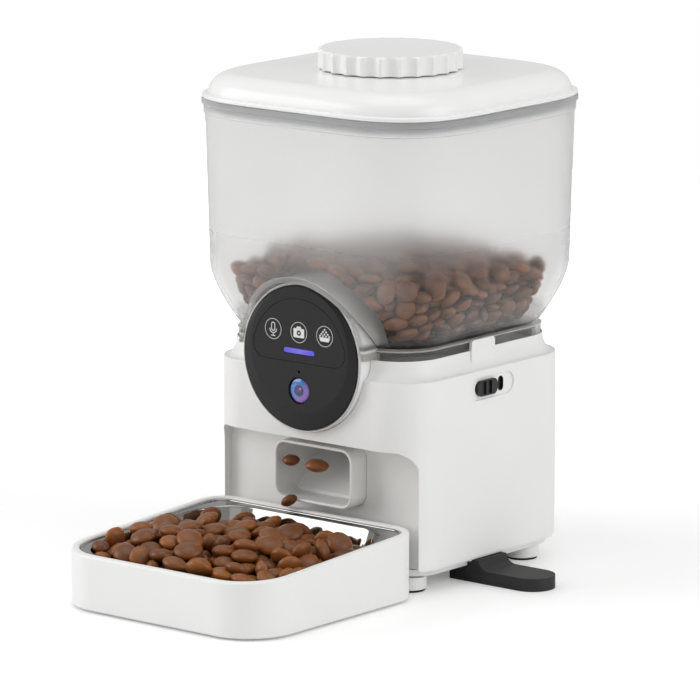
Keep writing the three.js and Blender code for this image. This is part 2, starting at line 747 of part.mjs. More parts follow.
// Feet with rubber pads
const footX = halfBase - foot.sideInset;
const footY = halfBase - foot.endInset;
const feetPlaces = {
  foot_front_left: [-footX, -footY],
  foot_front_right: [footX, -footY],
  foot_rear_left: [-footX, footY],
  foot_rear_right: [footX, footY],
};
for (const [name, [x, y]] of Object.entries(feetPlaces)) {
  piece(name, rod(foot.radius, foot.pad + fit, plate.bottom - fit, x, y), 'white');
  piece(name.replace('foot', 'foot_pad'), rod(foot.radius - foot.padInset, 0, foot.pad, x, y), 'rubber');
}

// Pull-out stabilisers: a block under the base runs through a concave fillet into a flat tongue
function makeStabiliser(side) {
  const { height, tongue, fillet, width } = stabiliser;
  const centre = stabiliserCentre;
  const inner = stabiliserInner;
  const tip = halfBase + stabiliser.reach;
  const filletEnd = halfBase + stabiliser.filletGap + fillet;
  const steps = 6;
  const profile = [[inner, 0], [tip, 0], [tip, tongue]];
  for (let step = 0; step <= steps; step += 1) {
    const angle = Math.PI / 2 * step / steps;
    const x = filletEnd - fillet * Math.sin(angle);
    profile.push([x, height - (height - tongue) * Math.cos(angle)]);
  }
  profile.push([inner, height]);
  const half = width / 2;
  const plan = outline(centre - half, centre + half, inner, tip, 0, half).map(([y, x]) => [x, y]).reverse();
  const mirrored = (points) => (side > 0 ? points : points.map(([u, v]) => [-u, v]).reverse());
  const bar = prismY(mirrored(profile), centre - half, centre + half);
  return bar.intersect(prismZ(mirrored(plan), 0, height));
}

piece('stabiliser_right', makeStabiliser(1), 'matteBlack');
piece('stabiliser_left', makeStabiliser(-1), 'matteBlack');

// Battery bay, cells, contacts and sliding door
const cellCentre = plateTop + fit + battery.radius;

function cellX(index) {
  return (index - (battery.cells - 1) / 2) * battery.pitch;
}

function makeBay() {
  const low = plateTop + fit;
  const roof = cellCentre + battery.radius + fit;
  const outer = block(-bayHalf - battery.wall, bayHalf + battery.wall, bayFront - battery.wall,
    bayRear + battery.wall, low, roof + battery.wall);
  return cut(outer, block(-bayHalf, bayHalf, bayFront, bayRear, low - overrun, roof));
}

// A contact strip across the bay with one raised button for each cell
function makeContacts(front, rear, button) {
  const thin = battery.contact / 4;
  const high = battery.radius / 2;
  const isFront = front < cellFront;
  const stripFront = isFront ? front : rear - thin;
  const strip = block(-bayHalf + fit, bayHalf - fit, stripFront, stripFront + thin,
    cellCentre - high, cellCentre + high);
  const buttons = [];
  for (let index = 0; index < battery.cells; index += 1) {
    buttons.push(barrel(button, front, rear, cellX(index), cellCentre));
  }
  return join(strip, ...buttons);
}

function makeDoor() {
  const body = block(-bayHalf, bayHalf, bayFront, plateHalf, plate.bottom, plate.bottom + door.thickness);
  const grip = battery.contact;
  const half = bayHalf / door.grooves;
  const grooveTop = plate.bottom + door.thickness / 3;
  const grooves = [];
  for (let index = 0; index < door.grooves; index += 1) {
    const y = plateHalf - 2 * (index + 1) * grip;
    grooves.push(block(-half, half, y - grip / 2, y, plate.bottom - overrun, grooveTop));
  }
  return cut(body, ...grooves);
}

piece('battery_bay', makeBay(), 'white');
for (let index = 0; index < battery.cells; index += 1) {
  const cell = barrel(battery.radius - fit, cellFront, cellRear, cellX(index), cellCentre);
  piece(`battery_cell_${index + 1}`, cell, 'cell');
}
piece('battery_contacts_front', makeContacts(bayFront + fit, cellFront - fit, battery.radius / 2), 'steel');
piece('battery_contacts_rear', makeContacts(cellRear + fit, bayRear - fit, battery.radius / 4), 'steel');
piece('battery_door', makeDoor(), 'white');

// Lock slider: ribbed knob outside, plate and bolt inside
const slider = {
  proud: 1.6, knobHeight: 10.8, stemGap: 0.5, plate: 2.2, plateHalf: 20, boltEnd: 2.5, ribs: 5, rib: 0.5,
};

function makeSlider() {
  const { centre, length, height, recessDepth } = slot;
  const z = slotHeight;
  const wallInner = halfBase - base.wall;
  const knobOutlinePoints = outline(centre - length / 2, centre + length / 2,
    z - slider.knobHeight / 2, z + slider.knobHeight / 2, slider.knobHeight / 2);
  const knobBody = prismX(knobOutlinePoints, halfBase - recessDepth + fit, halfBase + slider.proud);
  const stemRear = centre + length / 2 - slot.travel - fit;
  const stemOutline = outline(centre - length / 2 + slider.stemGap, stemRear - slider.stemGap,
    z - height / 2 + slider.stemGap, z + height / 2 - slider.stemGap, height / 2 - slider.stemGap);
  const plateRear = wallInner - fit;
  const stem = prismX(stemOutline, plateRear - slider.plate / 2, halfBase);
  const half = slider.plateHalf;
  const inner = block(plateRear - slider.plate, plateRear, centre - half, centre + half,
    z - slider.knobHeight / 2, z + slider.knobHeight / 2);
  const boltRear = lugFront - 2 * fit;
  const boltLow = lugBottom + lug.notchLow + 2 * fit;
  const boltHigh = lugBottom + lug.notchHigh - 2 * fit;
  const bolt = block(lugInner - slider.boltEnd, plateRear - slider.plate / 2, boltRear - length / 2, boltRear,
    boltLow, boltHigh);
  const ribs = [];
  for (let index = 0; index < slider.ribs; index += 1) {
    const y = centre + (index - (slider.ribs - 1) / 2) * length / (slider.ribs + 2);
    ribs.push(block(halfBase, halfBase + slider.proud + slider.rib, y - slider.rib, y + slider.rib,
      z - height / 3, z + height / 3));
  }
  return join(knobBody, stem, inner, bolt, ...ribs);
}

piece('lock_slider', makeSlider(), 'black');

// Rotor chamber with its drop hole, baffle and paddle rotor
const drop = { halfWidth: 24, gearGap: 6.15, inset: 1 };
const rotor = {
  hub: 10, sleeve: 2.6, blades: 6, blade: 3, below: 7, tipGap: 1.5, floorGap: 1.5, dome: 6, shaft: 4, pin: 3,
};
const baffle = { thickness: 2, side: 14, overlap: 13, gap: 1.5 };
const tubInner = tubRadius - tub.wall;
const rotorTop = seat - rotor.below;
const gearTip = gear.moduleLength * (gear.teeth / 2 + gear.tipShare);
const dropRear = -(gearTip + drop.gearGap);
const baffleRear = dropRear + baffle.overlap;
const baffleHalf = drop.halfWidth + baffle.side;
const tubFloorTop = tubFloor + tub.floorThickness;

function makeTub() {
  const flangeBottom = seat + fit;
  const flangeTop = flangeBottom + tub.flangeThickness;
  const body = turned([
    [0, tubFloor], [tubRadius, tubFloor], [tubRadius, flangeBottom],
    [tubFlange, flangeBottom], [tubFlange, flangeTop],
    [tubInner, flangeTop], [tubInner, tubFloorTop], [0, tubFloorTop],
  ]);
  const dropBox = block(-drop.halfWidth, drop.halfWidth, -tubRadius, dropRear,
    tubFloor - overrun, tubFloorTop + fit);
  const dropDisc = rod(tubInner - drop.inset, tubFloor - overrun, tubFloorTop + fit, 0, 0, fullCircle);
  const shaftHole = rod(rotor.shaft + fit, tubFloor - overrun, tubFloorTop + fit);
  return cut(body, dropBox.intersect(dropDisc), shaftHole);
}

function makeBaffle() {
  const low = rotorTop + baffle.gap;
  const disc = rod(tubInner - fit, low, low + baffle.thickness, 0, 0, fullCircle);
  return disc.intersect(block(-baffleHalf, baffleHalf, -tubRadius, baffleRear,
    low - fit, low + overrun));
}

function makeHub() {
  const low = tubFloorTop + rotor.floorGap;
  const shaftBottom = gearBottom - fit - rotor.pin;
  const gearTop = gearBottom + gear.thickness + fit;
  return turned([
    [0, shaftBottom], [rotor.pin - fit, shaftBottom], [rotor.pin - fit, gearTop],
    [rotor.shaft, gearTop], [rotor.shaft, low], [rotor.hub, low],
    [rotor.hub, rotorTop], [rotor.hub / 2, rotorTop + rotor.dome / 2], [0, rotorTop + rotor.dome],
  ], smallCircle);
}

function makeBlades() {
  const low = tubFloorTop + rotor.floorGap;
  const reach = tubInner - rotor.tipGap;
  const inner = rotor.hub + fit;
  const sleeve = rod(inner + rotor.sleeve, low, rotorTop);
  const bar = block(inner, reach, -rotor.blade / 2, rotor.blade / 2, low, rotorTop);
  const blades = [];
  for (let index = 0; index < rotor.blades; index += 1) {
    blades.push(bar.rotate([0, 0, 360 * (index + 1 / 2) / rotor.blades]));
  }
  return cut(join(sleeve, ...blades), rod(inner, low - overrun, rotorTop + overrun));
}

// Gear pair, gear motor and the bracket that hangs them under the chamber
const boardBack = halfBase - 2 * fit - inlet.length;
const gearDistance = gear.moduleLength * (gear.teeth + gear.pinionTeeth) / 2 + gear.backlash;

// Straight-sided teeth: root, tip, tip, root for every tooth
function gearOutline(teeth, turn) {
  const pitch = gear.moduleLength * teeth / 2;
  const root = pitch - gear.rootShare * gear.moduleLength;
  const tip = pitch + gear.tipShare * gear.moduleLength;
  const points = [];
  for (let index = 0; index < teeth; index += 1) {
    const middle = turn + 2 * Math.PI * index / teeth;
    const step = 2 * Math.PI / teeth;
    points.push([root, middle - gear.rootWidthShare * step], [tip, middle - gear.tipWidthShare * step]);
    points.push([tip, middle + gear.tipWidthShare * step], [root, middle + gear.rootWidthShare * step]);
  }
  return points.map(([radius, angle]) => [radius * Math.cos(angle), radius * Math.sin(angle)]);
}

function makeDriveGear() {
  const towardsPinion = Math.PI / 2;
  const halfTooth = Math.PI / gear.teeth;
  const points = gearOutline(gear.teeth, towardsPinion + halfTooth);
  const wheel = prismZ(points, gearBottom, gearBottom + gear.thickness);
  return cut(wheel, rod(rotor.pin, gearBottom - overrun, gearBottom + overrun));
}

function makePinion() {
  const towardsGear = -Math.PI / 2;
  const points = gearOutline(gear.pinionTeeth, towardsGear).map(([x, y]) => [x, y + gearDistance]);
  const wheel = prismZ(points, gearBottom, gearBottom + gear.thickness);
  return cut(wheel, rod(gear.pinionBore, gearBottom - overrun, gearBottom + overrun, 0, gearDistance));
}

function makeMotor() {
  const front = gearDistance - motor.length * (1 - motor.frontShare) - motor.can;
  const rear = front + motor.length;
  const canRear = boardBack - mainBoard.thickness - motor.boardGap;
  const middle = motorTop - motor.height / 2;
  const box = block(-motor.halfWidth, motor.halfWidth, front, rear, motorTop - motor.height, motorTop);
  const can = barrel(motor.can, rear - fit, canRear, 0, middle);
  const shaftTop = gearBottom + gear.thickness + gear.gap / 2;
  const shaft = rod(motor.shaft, motorTop - fit, shaftTop, 0, gearDistance);
  return join(box, can, shaft);
}

function bracketPosts() {
  const x = bracket.halfWidth - bracket.post;
  const rear = gearDistance + motor.halfWidth;
  return [[x, bracket.front], [-x, bracket.front], [x, rear], [-x, rear]];
}

function makeBracket() {
  const low = bracketTop - bracket.thickness;
  const rear = gearDistance + motor.halfWidth + bracket.post;
  const deck = block(-bracket.halfWidth, bracket.halfWidth, -bracket.front, rear, low, bracketTop);
  const posts = bracketPosts().map(([x, y]) => rod(bracket.post, bracketTop - fit, tubFloor - fit, x, y));
  return cut(join(deck, ...posts), rod(rotor.pin, low - overrun, bracketTop + overrun),
    rod(motor.shaft + gear.gap, low - overrun, bracketTop + overrun, 0, gearDistance));
}

piece('rotor_chamber', makeTub(), 'white');
piece('chamber_baffle', makeBaffle(), 'white');
piece('rotor_hub', makeHub(), 'gear');
piece('rotor_blades', makeBlades(), 'silicone');
piece('drive_gear', makeDriveGear(), 'gear');
piece('motor_pinion', makePinion(), 'gear');
piece('gear_motor', makeMotor(), 'steel');
piece('motor_bracket', makeBracket(), 'steel');

// Food chute: rounded spout in the alcove, sloped floor rising to the drop hole
const chute = { gearGap: 3.15, rise: 8.5 };
const chuteBack = -(gearTip + chute.gearGap);
const chuteRise = mouthCentre + chute.rise;

function makeChute() {
  const mouthPlane = alcoveBack - mouth.reach;
  const wallBack = alcoveBack + base.wall + fit;
  const low = mouthCentre - mouth.height / 2;
  const high = mouthCentre + mouth.height / 2;
  const top = tubFloor - fit;
  const half = mouth.width / 2;
  const wall = mouth.wall;
  const spout = prismY(mouthOutline(0), mouthPlane, wallBack + wall);
  const spoutInside = prismY(mouthOutline(wall), mouthPlane - overrun, wallBack + wall + fit);
  const body = prismX([
    [wallBack, low], [chuteBack, chuteRise], [chuteBack, top], [wallBack, top],
  ], -half, half);
  const bodyInside = prismX([
    [wallBack, low + wall], [chuteBack - wall, chuteRise + wall], [chuteBack - wall, top + overrun],
    [wallBack + wall, top + overrun], [wallBack + wall, high - wall], [wallBack, high - wall],
  ], -half + wall, half - wall);
  return cut(join(spout, body), spoutInside, bodyInside);
}

function makeLevelSensor() {
  const x = mouth.width / 2 + fit;
  const size = mouth.corner;
  const rear = chuteBack - size;
  return block(x, x + size, rear - size, rear, mouthCentre + size, mouthCentre + 2 * size);
}

piece('food_chute', makeChute(), 'white');
piece('level_sensor', makeLevelSensor(), 'black');

// Camera pod: white cup, clear ring, black faceplate, D-shaped key panel, keys, light bar and lens
const ring = { thickness: 2 };
const panel = { radiusShare: 9 / 11, bottom: -2.5, corner: 8.5, thickness: 0.6 };
const key = {
  radiusShare: 0.1477, spacingShare: 5 / 11, riseShare: 0.3568,
  flange: 1.1, flangeThickness: 0.8, stem: 2, stemLength: 2.4, travel: 0.8,
};
const lightBar = { width: 24.7, height: 3.4, z: 4, depth: 6 };
const lens = { radius: 7.9, bore: 7.3, z: -19.8, recess: 0.4, dome: 1.2, glass: 2 };
const mic = { hole: 0.9, z: -8.3, capsule: 2.6, depth: 4 };
const boardSize = { setBack: 7.5, thickness: 1.6, switchSize: 6, switchGap: 0.15 };
const boardFront = faceBack + boardSize.setBack;
const keyRadius = plateRadius * key.radiusShare;
const keySpacing = plateRadius * key.spacingShare;
const keyHeight = podHeight + plateRadius * key.riseShare;
const keyBack = faceBack + fit + key.flangeThickness;

function makePod() {
  const outer = barrel(pod.radius, podFront, podBack, 0, podHeight, fullCircle);
  const inner = pod.radius - pod.wall;
  const inside = barrel(inner, podFront - overrun, podBack - pod.wall, 0, podHeight, fullCircle);
  return cut(outer, inside);
}

function makeTrimRing() {
  const inner = plateRadius + fit;
  const back = podFront - fit;
  return cut(
    barrel(pod.radius, back - ring.thickness, back, 0, podHeight, fullCircle),
    barrel(inner, back - overrun, back + overrun, 0, podHeight, fullCircle),
  );
}

// The panel is the top of a disc closed by a straight lower edge with round corners
function panelOutline(growth) {
  const radius = plateRadius * panel.radiusShare + growth;
  const corner = panel.corner + growth;
  const low = panel.bottom - growth;
  const rise = low + corner;
  const reach = radius - corner;
  const cornerX = Math.sqrt(reach * reach - rise * rise);
  const cornerAngle = Math.atan2(rise, cornerX);
  const points = [];
  const steps = 20;
  for (let step = 0; step <= steps; step += 1) {
    const angle = cornerAngle + (Math.PI - 2 * cornerAngle) * step / steps;
    points.push([radius * Math.cos(angle), radius * Math.sin(angle)]);
  }
  const turnSteps = 5;
  for (let step = 1; step <= turnSteps; step += 1) {
    const angle = Math.PI - cornerAngle + (Math.PI / 2 + cornerAngle) * step / turnSteps;
    points.push([-cornerX + corner * Math.cos(angle), rise + corner * Math.sin(angle)]);
  }
  for (let step = 0; step < turnSteps; step += 1) {
    const angle = 3 * Math.PI / 2 + (Math.PI / 2 + cornerAngle) * step / turnSteps;
    points.push([cornerX + corner * Math.cos(angle), rise + corner * Math.sin(angle)]);
  }
  return points.map(([x, z]) => [x, z + podHeight]);
}

function keyPlaces() {
  return [-1, 0, 1].map((index) => index * keySpacing);
}

function keyHoles(front, back) {
  return keyPlaces().map((x) => barrel(keyRadius + fit, front, back, x, keyHeight));
}

function barOutline(growth) {
  const half = lightBar.width / 2 + growth;
  const z = podHeight + lightBar.z;
  const rise = lightBar.height / 2 + growth;
  return outline(-half, half, z - rise, z + rise, rise, rise, 2, 4);
}

function makeFaceplate() {
  const bevel = pod.plateThickness / 3;
  const shape = new THREE.CylinderGeometry(plateRadius, plateRadius - bevel, bevel, fullCircle);
  shape.translate(0, faceFront + bevel / 2, podHeight);
  const disc = barrel(plateRadius, faceFront + bevel, faceBack, 0, podHeight, fullCircle);
  const body = join(solid(shape), disc);
  const before = faceFront - overrun;
  const behind = faceBack + overrun;
  return cut(
    body,
    prismY(panelOutline(fit), before, faceFront + panel.thickness + fit),
    prismY(barOutline(fit), before, behind),
    barrel(lens.radius + fit, before, behind, 0, podHeight + lens.z),
    barrel(mic.hole, before, behind, 0, podHeight + mic.z),
    ...keyHoles(before, behind),
  );
}

function makePanel() {
  const back = faceFront + panel.thickness;
  const before = faceFront - overrun;
  const behind = back + overrun;
  return cut(
    prismY(panelOutline(0), faceFront, back),
    prismY(barOutline(fit), before, behind),
    ...keyHoles(before, behind),
  );
}

function makeKey(x) {
  return join(
    barrel(keyRadius, faceFront, keyBack - key.flangeThickness / 2, x, keyHeight),
    barrel(keyRadius + key.flange, faceBack + fit, keyBack, x, keyHeight),
    barrel(key.stem, keyBack - key.flangeThickness / 2, keyBack + key.stemLength, x, keyHeight),
  );
}

function makeLensBarrel() {
  const front = faceFront + lens.recess;
  const z = podHeight + lens.z;
  return cut(barrel(lens.radius, front, boardFront - fit, 0, z), barrel(lens.bore, front - overrun,
    front + 2 * lens.glass + lens.dome, 0, z));
}

function makeLensGlass() {
  const back = faceFront + 2 * lens.recess + lens.dome + lens.glass;
  const radius = lens.bore - fit;
  const steps = 4;
  const profile = [[0, 0], [radius, 0]];
  for (let step = 0; step <= steps; step += 1) {
    const angle = Math.PI / 2 * step / steps;
    profile.push([step === steps ? 0 : radius * Math.cos(angle), lens.glass + lens.dome * Math.sin(angle)]);
  }
  const dome = new THREE.LatheGeometry(profile.map(([u, v]) => new THREE.Vector2(u, v)), smallCircle);
  dome.rotateX(Math.PI);
  dome.translate(0, back, podHeight + lens.z);
  return solid(dome);
}

// Round board with a tact switch soldered behind each key
function makeCameraBoard() {
  const boardBack = boardFront + boardSize.thickness;
  const disc = barrel(pod.radius - pod.wall - fit, boardFront, boardBack, 0, podHeight, fullCircle);
  const front = keyBack + key.stemLength + key.travel + boardSize.switchGap;
  const half = boardSize.switchSize / 2;
  const middle = boardFront + boardSize.thickness / 2;
  const switches = keyPlaces().map((x) => block(x - half, x + half, front, middle,
    keyHeight - half, keyHeight + half));
  return join(disc, ...switches);
}

piece('camera_pod', makePod(), 'white');
piece('pod_trim_ring', makeTrimRing(), 'clear');
piece('camera_faceplate', makeFaceplate(), 'black');
piece('key_panel', makePanel(), 'black');
['talk_key', 'camera_key', 'feed_key'].forEach((name, index) => {
  piece(name, makeKey(keyPlaces()[index]), 'black');
});
piece('status_light_bar', prismY(barOutline(0), faceFront, faceFront + lightBar.depth), 'light');
piece('lens_barrel', makeLensBarrel(), 'black');
piece('lens_glass', makeLensGlass(), 'glass');
const micFront = faceBack + fit;
piece('microphone', barrel(mic.capsule, micFront, micFront + mic.depth, 0, podHeight + mic.z), 'steel');
piece('camera_board', makeCameraBoard(), 'board');

// Electronics in the rear of the base
const speaker = { radius: 16, cone: 12, depth: 10 };
const rearInner = halfBase - base.wall;

function makeInlet() {
  const back = halfBase - fit;
  return cut(
    barrel(inlet.radius, back - inlet.length, back, inlet.x, inlet.z),
    cut(barrel(inlet.bore, back - inlet.length + inlet.pin, back + overrun, inlet.x, inlet.z),
      barrel(inlet.pin, back - inlet.length, back - inlet.pin, inlet.x, inlet.z)),
  );
}

function makeMainBoard() {
  const left = grille.x + speaker.radius + mainBoard.besideSpeaker;
  const right = inlet.x + mainBoard.besideInlet;
  const bottom = inlet.z - mainBoard.belowInlet;
  const top = tubFloor + mainBoard.aboveTub;
  return block(left, right, boardBack - mainBoard.thickness, boardBack, bottom, top);
}

function makeSpeaker() {
  const back = rearInner - fit;
  const z = grilleHeight;
  const magnet = barrel(speaker.cone, back - speaker.depth, back - speaker.depth / 3, grille.x, z);
  return join(magnet, barrel(speaker.radius, back - speaker.depth / 2, back, grille.x, z));
}

piece('power_inlet', makeInlet(), 'black');
piece('main_board', makeMainBoard(), 'board');
piece('speaker', makeSpeaker(), 'black');

// Feeding tray: sloped rim, round bead, ledge for the bowl, rear hook tongue
function rimHeight(y) {
  return tray.frontRim + (y - trayFront) * rimSlope;
}

function trayOutline(inset) {
  const half = trayHalf - inset;
  return outline(-half, half, trayFront + inset, trayRear - inset,
    tray.frontCorner - inset, tray.rearCorner - inset);
}

function trayRing(inset, height) {
  return ringAt(trayOutline(inset), height);
}

function belowRim(drop) {
  return (y) => rimHeight(y) - drop;
}

function makeTray() {
  const { bead, beadRound, ledgeDrop, ledgeWidth, bottomInset } = tray;
  const low = tray.pad + fit;
  const floor = low + tray.floorThickness;
  const shell = loft([
    trayRing(bottomInset, low),
    trayRing(0, low + bottomInset),
    trayRing(0, belowRim(2 * beadRound)),
    trayRing(beadRound / 3, belowRim(beadRound)),
    trayRing(beadRound, belowRim(beadRound / 4)),
    trayRing(bead / 2, belowRim(0)),
    trayRing(bead - beadRound, belowRim(beadRound / 4)),
    trayRing(bead - beadRound / 3, belowRim(beadRound)),
    trayRing(bead, belowRim(ledgeDrop)),
    trayRing(bead + ledgeWidth / 2, belowRim(ledgeDrop)),
    trayRing(bead + ledgeWidth / 2, floor),
  ]);
  const tongue = block(-hook.halfWidth, hook.halfWidth, trayRear - bead / 2, trayRear + hook.reach,
    hook.bottom, hook.bottom + hook.thickness);
  return join(shell, tongue);
}

// Steel bowl: rolled rim, flat flange on the ledge, drawn basin
function basinOutline(inset) {
  const half = trayHalf - bowl.basinInset - inset;
  return outline(-half, half, trayFront + bowl.basinInset + inset, trayRear - bowl.basinInset - inset,
    bowl.basinFrontCorner - inset, bowl.basinRearCorner - inset);
}

function makeBowl() {
  const { sheet, rollHeight, rollWidth, floor, draft, bottomRound } = bowl;
  const edge = tray.bead + fit;
  const ledge = tray.ledgeDrop - fit;
  const top = (drop) => belowRim(ledge - rollHeight + drop);
  const basin = (inset, height) => ringAt(basinOutline(inset), height);
  const flangeTop = rollHeight - sheet;
  const steps = 4;
  const inside = [];
  const outsideRings = [];
  for (let step = 0; step <= steps; step += 1) {
    const angle = Math.PI / 2 * step / steps;
    const draw = draft + bottomRound * (1 - Math.cos(angle));
    const rise = bottomRound * (1 - Math.sin(angle));
    inside.push(basin(draw + sheet, floor + sheet + rise));
    outsideRings.unshift(basin(draw, floor + rise));
  }
  return loft([
    ...outsideRings,
    basin(0, top(rollHeight)),
    trayRing(edge, top(rollHeight)),
    trayRing(edge, top(sheet)),
    trayRing(edge + rollWidth / 4, top(0)),
    trayRing(edge + 3 * rollWidth / 4, top(0)),
    trayRing(edge + rollWidth, top(flangeTop)),
    basin(sheet, top(flangeTop)),
    ...inside,
  ]);
}

// Rubber strip along one side of the tray's underside
function makeTrayPad(side) {
  const centre = side * (trayHalf - tray.rearCorner);
  const half = tray.rearCorner / 4;
  const front = trayFront + tray.frontCorner;
  const shape = outline(centre - half, centre + half, front, trayRear - tray.rearCorner, half);
  return prismZ(shape, 0, tray.pad);
}

piece('feeding_tray', makeTray(), 'white');
piece('steel_bowl', makeBowl(), 'steel');
piece('tray_pad_left', makeTrayPad(-1), 'rubber');
piece('tray_pad_right', makeTrayPad(1), 'rubber');

export default feeder;
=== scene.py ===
import math

import bpy
import numpy as np
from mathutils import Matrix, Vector


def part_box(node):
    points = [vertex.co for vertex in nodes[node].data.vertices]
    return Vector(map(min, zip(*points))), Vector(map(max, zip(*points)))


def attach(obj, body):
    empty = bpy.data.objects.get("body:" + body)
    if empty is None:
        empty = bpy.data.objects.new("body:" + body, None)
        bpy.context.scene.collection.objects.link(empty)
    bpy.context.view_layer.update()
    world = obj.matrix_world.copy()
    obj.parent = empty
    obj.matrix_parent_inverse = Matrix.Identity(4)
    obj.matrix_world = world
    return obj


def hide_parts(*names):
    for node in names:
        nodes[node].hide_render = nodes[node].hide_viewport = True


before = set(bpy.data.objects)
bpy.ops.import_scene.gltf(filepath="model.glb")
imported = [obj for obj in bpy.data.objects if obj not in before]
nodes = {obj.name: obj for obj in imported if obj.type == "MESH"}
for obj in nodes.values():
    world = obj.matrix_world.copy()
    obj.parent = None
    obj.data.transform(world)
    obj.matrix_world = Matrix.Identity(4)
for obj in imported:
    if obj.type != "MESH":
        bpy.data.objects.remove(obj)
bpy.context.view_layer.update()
print("frame loaded,", len(nodes), "nodes")

# sizes below are millimetres, from the middle of the base on the floor
metre = 0.001
knobLow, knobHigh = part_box("lid_knob")
middleY = (knobLow.y + knobHigh.y) / 2
quarterTurn = np.pi / 2
# a corner so small that it is sharp, and the most faces that are asked which way is out
sharp = 0.01
askedFaces = 20000


def inFrame(points):
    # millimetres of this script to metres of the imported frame
    return np.asarray(points, float) * metre + [0, middleY, 0]


def nodeBox(name):
    # low and high corner of a CAD node in the millimetres of this script
    low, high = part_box(name)
    shift = np.array([0, middleY, 0])
    return (np.array(low) - shift) / metre, (np.array(high) - shift) / metre


def nodeRound(name):
    # centre (x, y) and radius of an upright round CAD node
    low, high = nodeBox(name)
    return (low + high)[:2] / 2, (high[0] - low[0]) / 2


# shapes
def makeMesh(name, points, faces):
    # closed or open skin; faces are turned outwards by the sign of the enclosed volume
    points = np.asarray(points, float)
    fan = [(face[0], face[i], face[i + 1]) for face in faces[:askedFaces] for i in range(1, len(face) - 1)]
    a, b, c = (points[np.array(fan)[:, i]] - points.mean(0) for i in range(3))
    if np.einsum("ij,ij->", a, np.cross(b, c)) < 0:
        faces = [tuple(reversed(face)) for face in faces]
    mesh = bpy.data.meshes.new(name)
    mesh.from_pydata(inFrame(points).tolist(), [], faces)
    mesh.update()
    piece = bpy.data.objects.new(name, mesh)
    bpy.context.scene.collection.objects.link(piece)
    return piece


def skinFaces(along, around, ringOfRings=False):
    # quads over a grid whose columns wrap round; rows wrap too when ringOfRings is true
    i = np.arange(along if ringOfRings else along - 1)[:, None]
    j = np.arange(around)[None, :]
    nextI, nextJ = (i + 1) % along, (j + 1) % around
    quads = np.stack(np.broadcast_arrays(i * around + j, i * around + nextJ,
                                         nextI * around + nextJ, nextI * around + j), -1)
    return [tuple(quad) for quad in quads.reshape(-1, 4).tolist()]


def capFaces(middle, along, around):
    # fans from the point middle to the first ring and from the point after it to the last ring
    last = (along - 1) * around
    faces = []
    for j in range(around):
        following = (j + 1) % around
        faces.append((middle, following, j))
        faces.append((middle + 1, last + j, last + following))
    return faces


def skin(name, rows, ringOfRings=False):
    # rows[along, around, xyz]; open ends are closed by a fan about the mean of the end row
    rows = np.asarray(rows, float)
    along, around = rows.shape[:2]
    points = rows.reshape(-1, 3)
    faces = skinFaces(along, around, ringOfRings)
    if not ringOfRings:
        faces += capFaces(len(points), along, around)
        points = np.vstack([points, rows[0].mean(0), rows[-1].mean(0)])
    return makeMesh(name, points, faces)


def outline(uMin, uMax, vMin, vMax, lowCorner, highCorner=None, power=2.0, steps=16):
    # rectangle whose corners follow |u|^power + |v|^power = corner^power
    highCorner = lowCorner if highCorner is None else highCorner
    angle = np.arange(4)[:, None] * quarterTurn + np.linspace(0, quarterTurn, steps + 1)[None, :]
    cosine, sine = np.cos(angle), np.sin(angle)
    across = np.sign(cosine) * np.abs(cosine) ** (2 / power)
    along = np.sign(sine) * np.abs(sine) ** (2 / power)
    corner = np.array([highCorner, highCorner, lowCorner, lowCorner])[:, None]
    right = np.array([True, False, False, True])[:, None]
    top = np.array([True, True, False, False])[:, None]
    u = np.where(right, uMax - corner, uMin + corner) + corner * across
    v = np.where(top, vMax - corner, vMin + corner) + corner * along
    return np.stack([u, v], -1).reshape(-1, 2)


def square(half, corner, power=2.0, steps=24):
    return outline(-half, half, -half, half, corner, power=power, steps=steps)


def circle(radius, steps=64, u=0.0, v=0.0):
    angle = np.linspace(0, 2 * np.pi, steps, endpoint=False)
    return np.stack([u + radius * np.cos(angle), v + radius * np.sin(angle)], -1)


def arc(u, v, radius, start, end, steps=6):
    # points (u, v) on a circle from start to end, in degrees
    angle = np.radians(np.linspace(start, end, steps + 1))
    return [(u + radius * math.cos(a), v + radius * math.sin(a)) for a in angle]


def easing(radius, count, start=0.0, end=quarterTurn):
    # (inset, drop) over a quarter turn: radius * (1 - cos a) and radius * (1 - sin a)
    return [(radius * (1 - math.cos(a)), radius * (1 - math.sin(a))) for a in np.linspace(start, end, count)]


def atHeight(ring, height):
    # a flat (x, y) ring lifted to z; height may be one number or one for each point
    return np.column_stack([ring, np.broadcast_to(height, len(ring))])


def ringRows(ringAt, steps):
    # one flat ring for each (inset, height)
    return [atHeight(ringAt(inset), height) for inset, height in steps]


def squareRows(heights, halves, corners, powers=2.0, steps=24):
    # one square ring for each height; the other values are one for all or one for each
    values = np.broadcast_arrays(heights, halves, corners, powers)
    return np.array([atHeight(square(half, corner, power, steps), height)
                     for height, half, corner, power in zip(*values)])


def facing(points, axis):
    # (u, v, w) turned so that w runs along the named axis
    order = {"X": [2, 0, 1], "Y": [0, 2, 1], "Z": [0, 1, 2]}[axis]
    return np.asarray(points)[..., order]


def prism(name, ring, low, high, axis="Z"):
    rows = np.array([atHeight(ring, low), atHeight(ring, high)])
    return skin(name, facing(rows, axis))


def turned(name, profile, axis="Z", centre=(0.0, 0.0), steps=64, closed=False):
    # (radius, height) profile carried round a circle
    rows = np.array([atHeight(circle(radius, steps, *centre), height) for radius, height in profile])
    return skin(name, facing(rows, axis), closed)


def rod(name, radius, low, high, axis="Z", centre=(0.0, 0.0), steps=64):
    return turned(name, [(radius, low), (radius, high)], axis, centre, steps)


def block(name, xMin, xMax, yMin, yMax, zMin, zMax):
    ring = np.array([[xMin, yMin], [xMax, yMin], [xMax, yMax], [xMin, yMax]], float)
    return prism(name, ring, zMin, zMax)


